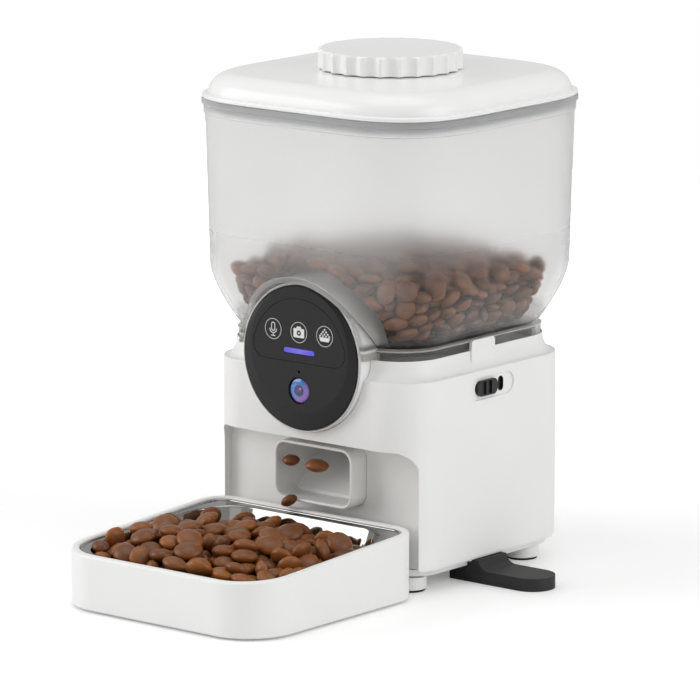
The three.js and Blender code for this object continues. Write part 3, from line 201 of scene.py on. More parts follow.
def combine(piece, how, *others):
    # UNION, DIFFERENCE or INTERSECT with each of the others, which then go
    for other in others:
        change = piece.modifiers.new("combine", "BOOLEAN")
        change.operation = how
        change.object = other
        change.solver = "MANIFOLD"
    bake(piece)
    for other in others:
        bpy.data.objects.remove(other)


def join(piece, *others):
    combine(piece, "UNION", *others)


def cut(piece, *others):
    combine(piece, "DIFFERENCE", *others)


def keepWithin(piece, other):
    combine(piece, "INTERSECT", other)


def bake(piece):
    # the piece's mesh with its modifiers worked in
    graph = bpy.context.evaluated_depsgraph_get()
    mesh = bpy.data.meshes.new_from_object(piece.evaluated_get(graph))
    piece.modifiers.clear()
    piece.data = mesh


# faces that meet at more than sharpAngle degrees have an edge, on cut pieces cutAngle
finish = dict(sharpAngle=32, cutAngle=40, bevelSteps=2)


def finishPiece(piece, material, body, replaced=(), edge=0.0, sharpAngle=finish["sharpAngle"]):
    # rounds sharp edges by edge, shades the rest smooth and lets the piece ride on its body
    if edge:
        bevel = piece.modifiers.new("edge", "BEVEL")
        bevel.width = edge * metre
        bevel.segments = finish["bevelSteps"]
        bevel.limit_method = "ANGLE"
        bevel.angle_limit = math.radians(sharpAngle)
        bake(piece)
    mesh = piece.data
    mesh.polygons.foreach_set("use_smooth", [True] * len(mesh.polygons))
    mesh.set_sharp_from_angle(angle=math.radians(sharpAngle))
    weighted = piece.modifiers.new("weighted", "WEIGHTED_NORMAL")
    weighted.keep_sharp = True
    bake(piece)
    piece.data.name = piece.name
    piece.data.materials.clear()
    piece.data.materials.append(material)
    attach(piece, body)
    if replaced:
        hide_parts(*replaced)
    return piece


# materials
def toLinear(hexColour):
    # sRGB hex to the linear values that the shader takes
    channels = [int(hexColour[i:i + 2], 16) / 255 for i in (1, 3, 5)]
    linear = [c / 12.92 if c <= 0.04045 else ((c + 0.055) / 1.055) ** 2.4 for c in channels]
    return (*linear, 1.0)


def addNode(material, kind, settings=None, links=None):
    # one shader node with its settings and the sockets that feed it
    node = material.node_tree.nodes.new("ShaderNode" + kind)
    for key, value in (settings or {}).items():
        if isinstance(key, int) or key in node.inputs:
            node.inputs[key].default_value = value
        else:
            setattr(node, key, value)
    for key, source in (links or {}).items():
        material.node_tree.links.new(source, node.inputs[key])
    return node


def newMaterial(name, settings):
    # a material with its Principled shader set up; returns material, shader and object coordinates
    material = bpy.data.materials.new(name)
    material.use_nodes = True
    material.node_tree.nodes.clear()
    shader = addNode(material, "BsdfPrincipled", settings)
    output = addNode(material, "OutputMaterial", links={"Surface": shader.outputs[0]})
    output.is_active_output = True
    coordinates = addNode(material, "TexCoord").outputs["Object"]
    return material, shader, coordinates


def connect(material, source, shader, socket):
    material.node_tree.links.new(source, shader.inputs[socket])


def noise(material, place, size, detail=2.0):
    # noise with lumps about size mm wide
    settings = {"Scale": 1 / (size * metre), "Detail": detail}
    return addNode(material, "TexNoise", settings, {"Vector": place}).outputs[0]


def relief(material, shader, height, strength, depth):
    # raises and sinks the surface by up to depth mm
    bump = addNode(material, "Bump", {"Strength": strength, "Distance": depth * metre}, {"Height": height})
    connect(material, bump.outputs["Normal"], shader, "Normal")


def colourRamp(material, value, stops):
    # stops as (place, hex colour) or (place, plain value)
    ramp = addNode(material, "ValToRGB", links={"Fac": value})
    elements = ramp.color_ramp.elements
    while len(elements) > 1:
        elements.remove(elements[-1])
    for index, (place, colour) in enumerate(stops):
        element = elements[0] if index == 0 else elements.new(place)
        element.position = place
        element.color = toLinear(colour) if isinstance(colour, str) else (colour, colour, colour, 1.0)
    return ramp.outputs["Color"]


def rangeOf(material, value, low, high, toLow=0.0, toHigh=1.0):
    # toLow where value is low, toHigh where it is high, and even between them
    settings = {"From Min": low, "From Max": high, "To Min": toLow, "To Max": toHigh}
    return addNode(material, "MapRange", settings, {"Value": value}).outputs[0]


def mathNode(material, operation, first, second):
    # two values or sockets worked together
    node = addNode(material, "Math", {"operation": operation})
    for index, value in enumerate((first, second)):
        if isinstance(value, (int, float)):
            node.inputs[index].default_value = value
        else:
            material.node_tree.links.new(value, node.inputs[index])
    return node.outputs[0]


def distanceOut(material, vector):
    return addNode(material, "VectorMath", {"operation": "LENGTH"}, {0: vector}).outputs["Value"]


def mixed(material, share, first, second):
    # the first colour where share is 0, the second where it is 1; the second is a socket or a hex colour
    settings = {"data_type": "RGBA"}
    links = {0: share, 6: first}
    if isinstance(second, str):
        settings[7] = toLinear(second)
    else:
        links[7] = second
    return addNode(material, "Mix", settings, links).outputs[2]


moulding = dict(ior=1.5, grainStrength=0.25, cloud=60, cloudDetail=1.0, cloudLow=0.3, cloudHigh=0.7)


def moulded(name, colour, shade, roughness, grain, depth, settings=None):
    # injection-moulded plastic: eroded texture of grain mm, and a faint cloudiness from the flow
    surface = {"Base Color": toLinear(colour), "Roughness": roughness, "IOR": moulding["ior"]}
    material, shader, place = newMaterial(name, {**surface, **(settings or {})})
    relief(material, shader, noise(material, place, grain), moulding["grainStrength"], depth)
    cloud = noise(material, place, moulding["cloud"], moulding["cloudDetail"])
    cloudy = colourRamp(material, cloud, [(moulding["cloudLow"], shade), (moulding["cloudHigh"], colour)])
    connect(material, cloudy, shader, "Base Color")
    return material


# ABS, moulded against a finely eroded tool: satin, very slightly grainy
absWhite = moulded("absSatinWhite", "#eeeeec", "#ebebe9", roughness=0.38, grain=0.5, depth=0.02)
# ABS from a polished tool: the lid and knob have softer, brighter highlights
absLid = moulded("absPolishedWhite", "#f1f1f0", "#eeeeed", roughness=0.24, grain=1.2, depth=0.004)
# ABS inside the base, left as moulded
absInner = moulded("absInnerWhite", "#e4e4e2", "#dededc", roughness=0.5, grain=0.6, depth=0.02)
# black polycarbonate faceplate with a fine anti-glare texture
blackFace = moulded("polycarbonateBlackSatin", "#1a1a1a", "#181818", roughness=0.34, grain=0.3, depth=0.006,
                    settings={"Specular IOR Level": 0.28})
# black ABS of the stabilisers: matt, eroded tool
blackMatt = moulded("absBlackMatt", "#1d1d1d", "#191919", roughness=0.55, grain=0.6, depth=0.03)
# black ABS slider, smoother from handling
blackSlider = moulded("absBlackSlider", "#161616", "#131313", roughness=0.35, grain=0.5, depth=0.01)
# rubber pads: matt, coarse
rubberBlack = moulded("rubberBlackMatt", "#1a1a1a", "#151515", roughness=0.85, grain=0.8, depth=0.03)
# silicone seal and paddles: grey, soft sheen
siliconeGrey = moulded("siliconeGrey", "#aab2b5", "#a0a8ab", roughness=0.55, grain=0.7, depth=0.01)
# acetal gears: waxy cream
acetalCream = moulded("acetalCream", "#d8d2c0", "#d0c9b5", roughness=0.42, grain=0.8, depth=0.008)
# shrink sleeve of the cells: bare blue film
cellSleeve = moulded("cellSleeveBlue", "#3b5b7a", "#35526e", roughness=0.35, grain=1.5, depth=0.01)
# desiccant bag: non-woven paper
bagPaper = moulded("nonWovenPaper", "#e4e2da", "#d8d5ca", roughness=0.9, grain=0.9, depth=0.08)
# printed circuit board: glass-epoxy with green solder mask
boardGreen = moulded("solderMaskGreen", "#1f6a3a", "#17522d", roughness=0.4, grain=1.8, depth=0.02)
# pad-printed white and grey ink on the keys
inkWhite = moulded("printedInkWhite", "#e9e9e9", "#e0e0e0", roughness=0.5, grain=0.4, depth=0.004)
inkGrey = moulded("printedInkGrey", "#bdbdbd", "#b4b4b4", roughness=0.5, grain=0.4, depth=0.004)

polishing = dict(stretch=0.05, detail=3.0, strength=0.2, smoothShare=0.8, dullShare=1.3)


def makeSteel(name, colour, roughness, lineWidth, depth):
    # stainless or plated sheet: long fine lines left by polishing along X
    p = polishing
    material, shader, place = newMaterial(name, {
        "Base Color": toLinear(colour), "Metallic": 1.0, "Roughness": roughness})
    stretched = addNode(material, "Mapping", {"Scale": (p["stretch"], 1.0, 1.0)}, {"Vector": place})
    lines = noise(material, stretched.outputs[0], lineWidth, p["detail"])
    relief(material, shader, lines, p["strength"], depth)
    uneven = rangeOf(material, lines, 0.0, 1.0, roughness * p["smoothShare"], roughness * p["dullShare"])
    connect(material, uneven, shader, "Roughness")
    return material


# stainless steel bowl, deep drawn and mirror polished
bowlSteel = makeSteel("stainlessPolished", "#9c9b98", roughness=0.06, lineWidth=1.2, depth=0.002)
# zinc-plated sheet and screws inside
platedSteel = makeSteel("steelZincPlated", "#b9bbbd", roughness=0.32, lineWidth=0.4, depth=0.01)

# stops are shares of the way up from low to high: collar, pale bead that is a painted highlight, dark strip
# above the bead that is painted shade, body, rim
frost = dict(low=130, high=290, smokyEnd=22, smokyFade=6, collarEnd=155, collarFade=5, milk="#ececeb",
             hoodMargin=0.6, hoodFade=0.6, hoodBackMargin=1, hoodBackFade=1, front=-86, frontFade=11,
             frontHaze=0.35, hazeDims=0.2, hazeRoughens=0.3,
             colourAndPaintedLightStops=[(0.0, "#d0cdc9"), (0.104, "#d9d6d2"), (0.107, "#f6f6f5"), (0.112, "#f6f6f5"),
                          (0.115, "#a5a29e"), (0.124, "#aeaba7"), (0.134, "#fdfdfc"), (0.93, "#fcfcfb"),
                          (0.955, "#e6e6e6"), (1.0, "#d6d6d6")],
             clearStops=[(0.0, 0.95), (0.104, 0.95), (0.107, 0.45), (0.112, 0.45), (0.115, 0.98), (0.4, 0.99),
                         (0.48, 0.94), (0.6, 0.82), (0.75, 0.75), (1.0, 0.73)],
             roughStops=[(0.0, 0.03), (0.12, 0.04), (0.3, 0.08), (0.43, 0.24), (0.6, 0.34), (1.0, 0.34)])


def makeFrosted():
    # polystyrene tank, clear by nature, blasted inside: clear by the kibble, hazier towards the top and
    # on the front wall; smoky in the collar's front and right walls, milky at the hood, grey at the rim
    # with a painted highlight on the collar's bead and painted shade in the strip just above it
    f = frost
    material, shader, place = newMaterial("polystyreneFrosted", {
        "IOR": 1.22, "Coat Weight": 0.2, "Coat Roughness": 0.1, "Coat IOR": 1.5})
    parts = addNode(material, "SeparateXYZ", links={"Vector": place})
    x, y, z = parts.outputs["X"], parts.outputs["Y"], parts.outputs["Z"]

    def fade(value, end, length, shift=0.0):
        # 1 up to end, 0 from length mm past it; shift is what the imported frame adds
        return rangeOf(material, value, (end + length) * metre + shift, end * metre + shift)

    height = rangeOf(material, z, f["low"] * metre, f["high"] * metre)
    # the smoky part ends before the collar's two other corners
    across = mathNode(material, "SUBTRACT", x, y)
    notSmoky = fade(across, f["smokyEnd"], f["smokyFade"], -middleY)
    plain = mathNode(material, "MULTIPLY", fade(z, f["collarEnd"], f["collarFade"]), notSmoky)
    # the colour ramp paints a highlight on the collar's bead and shade in the strip just above it
    colour = mixed(material, plain, colourRamp(material, height, f["colourAndPaintedLightStops"]), f["milk"])
    # the hood: near the pod's axis and in front of the pocket's back
    up = mathNode(material, "SUBTRACT", z, podHeight * metre)
    fromAxis = addNode(material, "CombineXYZ", links={"X": x, "Y": up})
    axis = distanceOut(material, fromAxis.outputs[0])
    hoodEdge = pod["radius"] + pod["hoodGap"] + pod["hoodWall"] + f["hoodMargin"]
    hoodBack = pod["pocketBack"] + tank["wall"] + f["hoodBackMargin"]
    hood = mathNode(material, "MULTIPLY", fade(axis, hoodEdge, f["hoodFade"]),
                    fade(y, hoodBack, f["hoodBackFade"], middleY))
    front = fade(y, f["front"], f["frontFade"], middleY)
    haze = mathNode(material, "MAXIMUM", mathNode(material, "MAXIMUM", plain, hood),
                    mathNode(material, "MULTIPLY", front, f["frontHaze"]))
    clear = mathNode(material, "SUBTRACT", colourRamp(material, height, f["clearStops"]),
                     mathNode(material, "MULTIPLY", haze, f["hazeDims"]))
    rough = mathNode(material, "MAXIMUM", colourRamp(material, height, f["roughStops"]),
                     mathNode(material, "MULTIPLY", haze, f["hazeRoughens"]))
    connect(material, colour, shader, "Base Color")
    connect(material, clear, shader, "Transmission Weight")
    connect(material, rough, shader, "Roughness")
    return material


def makeClear(wave=9, strength=0.1, depth=0.02):
    # clear polycarbonate trim ring, polished, with faint waves
    material, shader, place = newMaterial("polycarbonateClear", {
        "Base Color": toLinear("#f4f5f5"), "Roughness": 0.12, "Transmission Weight": 0.45, "IOR": 1.3})
    relief(material, shader, noise(material, place, wave), strength, depth)
    return material


ringClear = makeClear()
crust = dict(patch=7, patchDetail=3.0, patchLow=0.3, patchHigh=0.7, patchShift=0.25, pore=1.1,
             poreDetail=4.0, poreStrength=0.4, poreDepth=0.1,
             flatStops=[(0.0, "#4c2e1b"), (0.5, "#6a442b"), (1.0, "#865a39")],
             edgeStops=[(0.0, "#592e0e"), (0.5, "#794315"), (1.0, "#99591e")])


def makeKibbleMaterial():
    # baked kibble: fat-coated brown crust, duller on the flat sides, redder round the edge, with fine pores
    c = crust
    material, shader, place = newMaterial("kibbleBaked", {"Roughness": 0.38, "IOR": 1.45})
    # tone differs at random from piece to piece, and is darker in the tank's pile as painted shade
    toneAndShade = addNode(material, "Attribute", {"attribute_name": "toneAndShade"}).outputs["Fac"]
    rim = addNode(material, "Attribute", {"attribute_name": "rim"}).outputs["Fac"]
    flat, edge = (colourRamp(material, toneAndShade, c[stops]) for stops in ("flatStops", "edgeStops"))
    patches = noise(material, place, c["patch"], c["patchDetail"])
    blotch = rangeOf(material, patches, c["patchLow"], c["patchHigh"], -c["patchShift"], c["patchShift"])
    share = addNode(material, "Math", {"operation": "ADD", "use_clamp": True}, {0: rim, 1: blotch})
    connect(material, mixed(material, share.outputs[0], flat, edge), shader, "Base Color")
    pores = noise(material, place, c["pore"], c["poreDetail"])
    relief(material, shader, pores, c["poreStrength"], c["poreDepth"])
    return material


kibbleBrown = makeKibbleMaterial()
# rings of the coated glass with a painted violet reflection and painted glints, all in shares of the glass's
# radius; the pink first stop is a painted glint too
coatingAndReflections = dict(stops=[(0.0, "#8c3f96"), (0.1, "#4a2468"), (0.2, "#2b2a70"), (0.36, "#161a4a"),
                      (0.43, "#0d1233"), (0.5, "#3468b4"), (0.7, "#3f7cc8"), (0.88, "#2c62ac"),
                      (0.96, "#1a3a72"), (1.0, "#0b1226")], violetReflection="#9a62b4", reflectionLow=-0.35,
               reflectionHigh=0.7, reflectionMost=0.7, irisEdge=0.44, irisEnd=0.5, glint="#d67ac8",
               glintPlace=(0.12, 0.16, 0.0), glintEdge=0.13, glintCore=0.05)


def makeLensGlass(centre, radius):
    # coated glass: blue round a dark iris, with a painted violet reflection to the right and a painted pink
    # glint
    c = coatingAndReflections
    material, shader, place = newMaterial("coatedGlass", {"Roughness": 0.08, "IOR": 1.5, "Coat Weight": 0.6})
    scale = 1 / (radius * metre)
    spot = addNode(material, "Mapping",
                   {"Location": (inFrame(centre) * -scale).tolist(), "Scale": [scale] * 3},
                   {"Vector": place})
    parts = addNode(material, "SeparateXYZ", links={"Vector": spot.outputs[0]})
    x, z = parts.outputs["X"], parts.outputs["Z"]
    flat = addNode(material, "CombineXYZ", links={"X": x, "Y": z}).outputs[0]
    reach = distanceOut(material, flat)
    slant = mathNode(material, "SUBTRACT", x, z)
    # the violet to the right is a painted reflection
    violetReflection = rangeOf(material, slant, c["reflectionLow"], c["reflectionHigh"], 0.0, c["reflectionMost"])
    share = mathNode(material, "MULTIPLY", violetReflection, rangeOf(material, reach, c["irisEdge"], c["irisEnd"]))
    ringsWithReflection = mixed(material, share, colourRamp(material, reach, c["stops"]), c["violetReflection"])
    # the pink glint is a painted highlight
    glint = addNode(material, "VectorMath", {"operation": "DISTANCE", 1: c["glintPlace"]}, {0: flat})
    paintedGlint = rangeOf(material, glint.outputs["Value"], c["glintEdge"], c["glintCore"])
    connect(material, mixed(material, paintedGlint, ringsWithReflection, c["glint"]), shader, "Base Color")
    return material


def makeLight(name, edge, middle, strength, reach):
    # light guide of milky polycarbonate, brightest in the middle and edge-coloured reach mm from it
    material, shader, place = newMaterial(name, {"Roughness": 0.35, "Emission Strength": strength})
    x = addNode(material, "SeparateXYZ", links={"Vector": place}).outputs["X"]
    away = addNode(material, "Math", {"operation": "ABSOLUTE"}, {0: x}).outputs[0]
    colour = colourRamp(material, away, [(0.0, middle), (reach * metre, edge)])
    connect(material, colour, shader, "Base Color")
    connect(material, colour, shader, "Emission Color")
    return material


lightViolet = makeLight("lightGuideViolet", "#4741bd", "#625dc6", strength=0.42, reach=12.5)
print("materials made")

# hopper tank: rounded square bottle with a hood over the pod and a smoky collar
base = dict(half=80, corner=28, wall=2.5, bottom=14.5, bottomStep=2, bottomInset=1, crease=130, seat=135,
            lipRise=6.7, lipInset=5.5, creaseRound=0.9, creaseTurn=75, shoulderRows=11, steps=20, roofSlope=3,
            collarSlack=0.3, fit=0.3, overrun=6, edge=0.45)
tank = dict(collarHalf=73.5, collarTop=147.7, floorTop=148.7, floor=3, bead=0.5, beadProud=0.4, wall=2.5,
            lowerHalf=91.75, upperHalf=93.5, roundTop=190, roundInset=20, roundPower=1.6, roundRows=15,
            corner=73, cornerPower=3.2, bandBottom=278.5, bandStep=0.6, rimHalf=95, rimBottom=284,
            rimTop=288, rimDraw=0.4, rimStart=0.3, rimRise=0.8, topRound=0.6, topDraw=0.5, outlet=50,
            spigotDrop=13.7, spigotSink=1, pileGap=8, roundSteps=96)
lug = dict(inner=64.5, outer=67.5, front=-1, rear=13, notchRear=7, notchLow=3, notchHigh=9)
pod = dict(radius=45.5, back=-64, face=-86.5, plateRadius=44, plateThickness=3, wall=2, edge=1,
           hoodWall=2.7, hoodGap=0.8, hoodFront=-84.2, pocketBack=-63, ringDepth=0.9, ringEdge=0.3,
           ringRearEdge=0.2, steps=128)
faceLow, faceHigh = nodeBox("camera_faceplate")
podHeight = (faceLow[2] + faceHigh[2]) / 2
tankFrosted = makeFrosted()
# cutters reach this far forward
cutFront = -(tank["rimHalf"] + base["overrun"])
# radius of the small end rings at the middle of a turned piece
hub = 1


def tankRows(inset, bottomHeight):
    # rounding under the tank: half width falls by roundInset * share^roundPower towards the collar
    share = np.linspace(1, 0, tank["roundRows"])
    heights = tank["roundTop"] - share * (tank["roundTop"] - bottomHeight)
    halves = tank["lowerHalf"] - tank["roundInset"] * share ** tank["roundPower"] - inset
    corners = tank["corner"] + share * (base["corner"] - tank["corner"]) - inset
    powers = tank["cornerPower"] + share * (2 - tank["cornerPower"])
    return squareRows(heights, halves, corners, powers)


def tankHollow(name, inset, top):
    # the tank's outline drawn in by inset, from the funnel floor up to top
    upper = squareRows([top], tank["upperHalf"] - inset, tank["corner"] - inset, tank["cornerPower"])
    return skin(name, np.concatenate([tankRows(inset, tank["floorTop"]), upper]))


def arch(name, radius, front, back):
    # half circle over the pod with straight legs down past the crease
    angle = np.linspace(0, np.pi, 49)
    foot = base["crease"] - base["overrun"]
    top = np.stack([radius * np.cos(angle), podHeight + radius * np.sin(angle)], -1)
    return prism(name, np.vstack([[radius, foot], top, [-radius, foot]]), front, back, "Y")


def makeTankShell():
    t, bead = tank, tank["bead"]
    # a thin bead runs round the top of the collar
    collarSteps = [(base["seat"] + base["fit"], 0), (t["collarTop"] - 2 * bead, 0),
                   (t["collarTop"] - 1.5 * bead, t["beadProud"]), (t["collarTop"] - bead / 2, t["beadProud"]),
                   (t["collarTop"], 0)]
    heights, proud = np.array(collarSteps).T
    collar = squareRows(heights, t["collarHalf"] + proud, base["corner"])
    band = t["upperHalf"] + t["bandStep"]
    rimSteps = [(t["bandBottom"], t["upperHalf"]), (t["bandBottom"] + t["bandStep"], band),
                (t["rimBottom"], band), (t["rimBottom"] + t["rimStart"], t["rimHalf"] - t["rimDraw"]),
                (t["rimBottom"] + t["rimRise"], t["rimHalf"]), (t["rimTop"] - t["topRound"], t["rimHalf"]),
                (t["rimTop"], t["rimHalf"] - t["topDraw"])]
    heights, halves = zip(*rimSteps)
    rim = squareRows(heights, halves, t["corner"], t["cornerPower"])
    return skin("tankShell", np.concatenate([collar, tankRows(0, t["collarTop"] + base["fit"]), rim]))


def makeLug():
    # the lock bolt's notch opens towards the front
    low = nodeBox("hopper_tank")[0][2]
    over = base["overrun"]
    tankLug = block("lug", lug["inner"], lug["outer"], lug["front"], lug["rear"], low,
                    tank["floorTop"] - tank["spigotSink"])
    cut(tankLug,
        block("notch", lug["inner"] - over, lug["outer"] + over, lug["front"] - over, lug["notchRear"],
              low + lug["notchLow"], low + lug["notchHigh"]))
    return tankLug


def makeTank():
    fit, over, wall = base["fit"], base["overrun"], tank["wall"]
    tankBody = makeTankShell()
    outer = pod["radius"] + pod["hoodGap"] + pod["hoodWall"]
    pocketWall = pod["pocketBack"] + wall
    inside = tankHollow("tankInside", wall, tank["rimTop"] + over)
    cut(inside, arch("archWall", outer, cutFront, pocketWall))
    hood = arch("hood", outer, pod["hoodFront"], pocketWall)
    keepWithin(hood,
               block("hoodRange", -base["half"], base["half"], pod["hoodFront"] - over,
                     pod["pocketBack"] + over, base["seat"] + base["lipRise"] + 2 * fit, tank["rimTop"]))
    pocket = arch("pocket", pod["radius"] + pod["hoodGap"], cutFront, pod["pocketBack"])
    skirt = prism("skirt", square(tank["collarHalf"] - wall, base["corner"] - wall), base["seat"] - over,
                  tank["floorTop"] - tank["floor"])
    outlet = rod("outlet", tank["outlet"], base["seat"], tank["rimTop"], steps=tank["roundSteps"])
    low = tank["floorTop"] - tank["floor"] - tank["spigotDrop"]
    top = tank["floorTop"] - tank["spigotSink"]
    spigot = turned("spigot",
                    [(tank["outlet"], low), (tank["outlet"] + wall, low), (tank["outlet"] + wall, top),
                     (tank["outlet"], top)], steps=tank["roundSteps"], closed=True)
    join(tankBody, hood)
    cut(tankBody, inside, skirt, pocket, outlet)
    join(tankBody, spigot, makeLug())
    finishPiece(tankBody, tankFrosted, "hopper", ["hopper_tank"])


def makePileSpace():
    # the vessel that the tank's pile settles in: clear of the walls by pileGap, as in the photo
    gap = tank["pileGap"]
    space = tankHollow("pileSpace", tank["wall"] + gap, tank["rimTop"])
    cut(space, arch("pileArch", pod["radius"] + pod["hoodGap"] + pod["hoodWall"] + gap / 2, cutFront,
                    pod["pocketBack"] + tank["wall"] + gap / 2))
    mesh = space.data
    bpy.data.objects.remove(space)
    return mesh


makeTank()
print("tank made")

# lid with a soft round edge, and the fluted knob; lipEdge holds (drop, inset) points
lid = dict(low=288.3, lipHeight=2.6, lipInset=0.4, lipStart=0.3,
           lipEdge=[(1.0, 0), (0.5, 0.15), (0.1, 0.8), (0, 1.4)], lipStep=3.6, edgeRound=14, edgeRows=15,
           top=304, crownDrop=0.6, crownRows=12, wall=2.2, skirtGap=2.3, skirtDrop=9, hole=34,
           cornerDraw=1, innerDrop=1, innerCornerDraw=3, skirtCornerDraw=4)


def makeLid():
    half, corner, power, wall = tank["rimHalf"], tank["corner"], tank["cornerPower"], lid["wall"]
    start = lid["low"] + lid["lipHeight"]
    crown = lid["top"] - lid["crownDrop"]
    angle = np.linspace(0, quarterTurn, lid["edgeRows"])
    draw = lid["lipStep"] + lid["edgeRound"] * (1 - np.cos(angle))
    shoulder = squareRows(start + (crown - start) * np.sin(angle), half - draw, corner - draw, power)
    # from the shoulder to the hole the ring turns from a soft square into a circle
    share = np.linspace(0, 1, lid["crownRows"] + 1)[1:]
    halves = half - draw[-1] + share * (lid["hole"] - half + draw[-1])
    corners = np.minimum(halves, (corner - draw[-1]) + share * (lid["hole"] - corner + draw[-1]))
    top = squareRows(crown + lid["crownDrop"] * np.sin(share * quarterTurn), halves, corners,
                     power + share ** 0.5 * (2 - power))
    skirtHalf = tank["upperHalf"] - tank["wall"] - lid["skirtGap"]
    lip = half - lid["lipInset"]
    skirtLow = lid["low"] - lid["skirtDrop"]
    outerSteps = [(skirtLow, skirtHalf), (lid["low"], skirtHalf), (lid["low"], lip - lid["lipStart"]),
                  (lid["low"] + lid["lipStart"], lip)]
    outerSteps += [(start - drop, lip - inset) for drop, inset in lid["lipEdge"]]
    heights, outerHalves = zip(*outerSteps)
    outer = squareRows(heights, outerHalves, corner - lid["cornerDraw"], power)
    # inside: back from the hole under the crown and down the skirt
    innerTop = top[::-1].copy()
    innerTop[:, :, 2] -= wall
    innerStart = start - lid["innerDrop"]
    innerShoulder = squareRows(innerStart + (crown - wall - innerStart) * np.sin(angle[::-1]),
                               half - draw[::-1] - wall - lid["skirtGap"],
                               corner - draw[::-1] - lid["innerCornerDraw"], power)
    skirt = squareRows([start - wall, skirtLow], skirtHalf - wall, corner - lid["skirtCornerDraw"], power)
    lidShell = skin("lidShell", np.concatenate([outer, shoulder, top, innerTop, innerShoulder, skirt]), True)
    finishPiece(lidShell, absLid, "lid", ["hopper_lid"])


knob = dict(radius=44, low=304.6, top=316.5, edge=1.6, flutes=24, fluteDepth=2.2, fluteSamples=14,
            dipPower=0.8, ridgeShare=0.16, fadeShare=0.75, footInset=0.5, footRise=0.4, topInset=3.5,
            wall=2.4, plugGap=6.2, plugDrop=5)


def makeKnob():
    # radius = knob radius - fluteDepth * sin(pi * place in the scallop)^dipPower, fading out to the top edge
    k = knob
    count = k["flutes"] * k["fluteSamples"]
    place = (np.arange(count) % k["fluteSamples"]) / k["fluteSamples"]
    scallop = np.maximum(0, (place - k["ridgeShare"]) / (1 - k["ridgeShare"]))
    dip = np.sin(np.pi * scallop) ** k["dipPower"]
    angle = 2 * np.pi * np.arange(count) / count

    def ring(radius, height, depth=0.0):
        reach = radius - depth * dip
        return np.column_stack([reach * np.cos(angle), reach * np.sin(angle), np.full(count, height)])

    radius, top, depth = k["radius"], k["top"], k["fluteDepth"]
    outside = [ring(radius - k["footInset"], k["low"], depth), ring(radius, k["low"] + k["footRise"], depth)]
    for u, v in arc(radius - k["edge"], top - k["edge"], k["edge"], 0, 90):
        share = (radius - u) / k["edge"]
        outside.append(ring(u, v, depth * (1 - k["fadeShare"] * share)))
    outside += [ring(reach, top) for reach in (radius - k["topInset"], radius / 2, k["wall"])]
    roof = top - k["wall"]
    bottom = lid["top"] - k["plugDrop"]
    plug = nodeBox("desiccant_cup")[1][0] - k["plugGap"]
    inner = plug - k["wall"]
    skirtHalf = radius - depth - k["wall"]
    inside = [ring(k["wall"], roof), ring(inner, roof), ring(inner, bottom), ring(plug, bottom),
              ring(plug, roof), ring(skirtHalf, roof), ring(skirtHalf, k["low"])]
    # the rows run from the middle of the roof out, round the skirt and back; two fans close the middle
    knobBody = skin("knobBody", np.array(inside + outside))
    finishPiece(knobBody, absLid, "knob", ["lid_knob"])


makeLid()
makeKnob()
print("lid and knob made")

# base housing: alcove, concave shoulder, seat, tab and lock recess
alcove = dict(half=76, back=-60, top=88, corner=12)
tub = dict(radius=56, wall=2, flange=60, flangeThickness=1.7, floor=90, floorTop=92.5, round=2, innerRound=2,
           innerDraw=0.6, dropHalf=24, dropRear=-27, dropInset=1, shaftHole=4.3)
mouth = dict(centre=65.5, width=61, height=37, corner=8.5, wall=2, plane=-74)
slot = dict(centre=-6.2, length=20.4, height=9.2, travel=7.5, z=118.8, recess=1.2, border=2.4, bar=1.8,
            window=5.4, frontMargin=6.6, rearMargin=9, flare=3)
tab = dict(front=-15.7, rear=6.8, top=148, sink=1, thickness=2, corner=2.4)
hook = dict(half=20, bottom=19, thickness=3, length=12)
grille = dict(x=-34, z=100, slots=5, length=24, height=2.2, pitch=5)
inlet = dict(x=40, z=58, radius=5.6)


def mouthRing(inset):
    half = mouth["width"] / 2 - inset
    rise = mouth["height"] / 2 - inset
    return outline(-half, half, mouth["centre"] - rise, mouth["centre"] + rise, mouth["corner"] - inset)


def alcoveRing(growth):
    half = alcove["half"] + growth
    return outline(-half, half, base["bottom"] - base["overrun"], alcove["top"] + growth, sharp,
                   alcove["corner"] + growth)


def housingShell():
    # rounded crease, then the concave shoulder: a quarter turn up to the lip, whose corners follow
    # the collar's
    half, corner, crease = base["half"], base["corner"], base["creaseRound"]
    lipTop = base["seat"] + base["lipRise"]
    angle = np.linspace(0, quarterTurn, base["shoulderRows"])
    draw = crease + (base["lipInset"] - crease) * np.sin(angle)
    lipCorner = corner + half - base["lipInset"] - tank["collarHalf"]
    shoulder = squareRows(base["crease"] + (lipTop - base["crease"]) * (1 - np.cos(angle)), half - draw,
                          corner + draw / base["lipInset"] * (lipCorner - corner), steps=base["steps"])
    steps = [(base["bottom"], base["bottomInset"]), (base["bottom"] + base["bottomStep"], 0)]
    steps += [(base["crease"] + v, crease - u) for u, v in arc(0, -crease, crease, 0, base["creaseTurn"], 5)]
    heights, draws = np.array(steps).T
    side = squareRows(heights, half - draws, corner - draws, steps=base["steps"])
    return skin("housingShell", np.concatenate([side, shoulder]))


def housingInside():
    over, wall, slope = base["overrun"], base["wall"], base["roofSlope"]
    half = base["half"] - wall
    inside = skin("housingInside", squareRows(
        [base["bottom"] - over, base["crease"] - slope, base["seat"] - wall], [half, half, half - slope],
        base["corner"] - wall, steps=base["steps"]))
    cut(inside, prism("alcoveWalls", alcoveRing(wall), cutFront, alcove["back"] + wall, "Y"))
    return inside


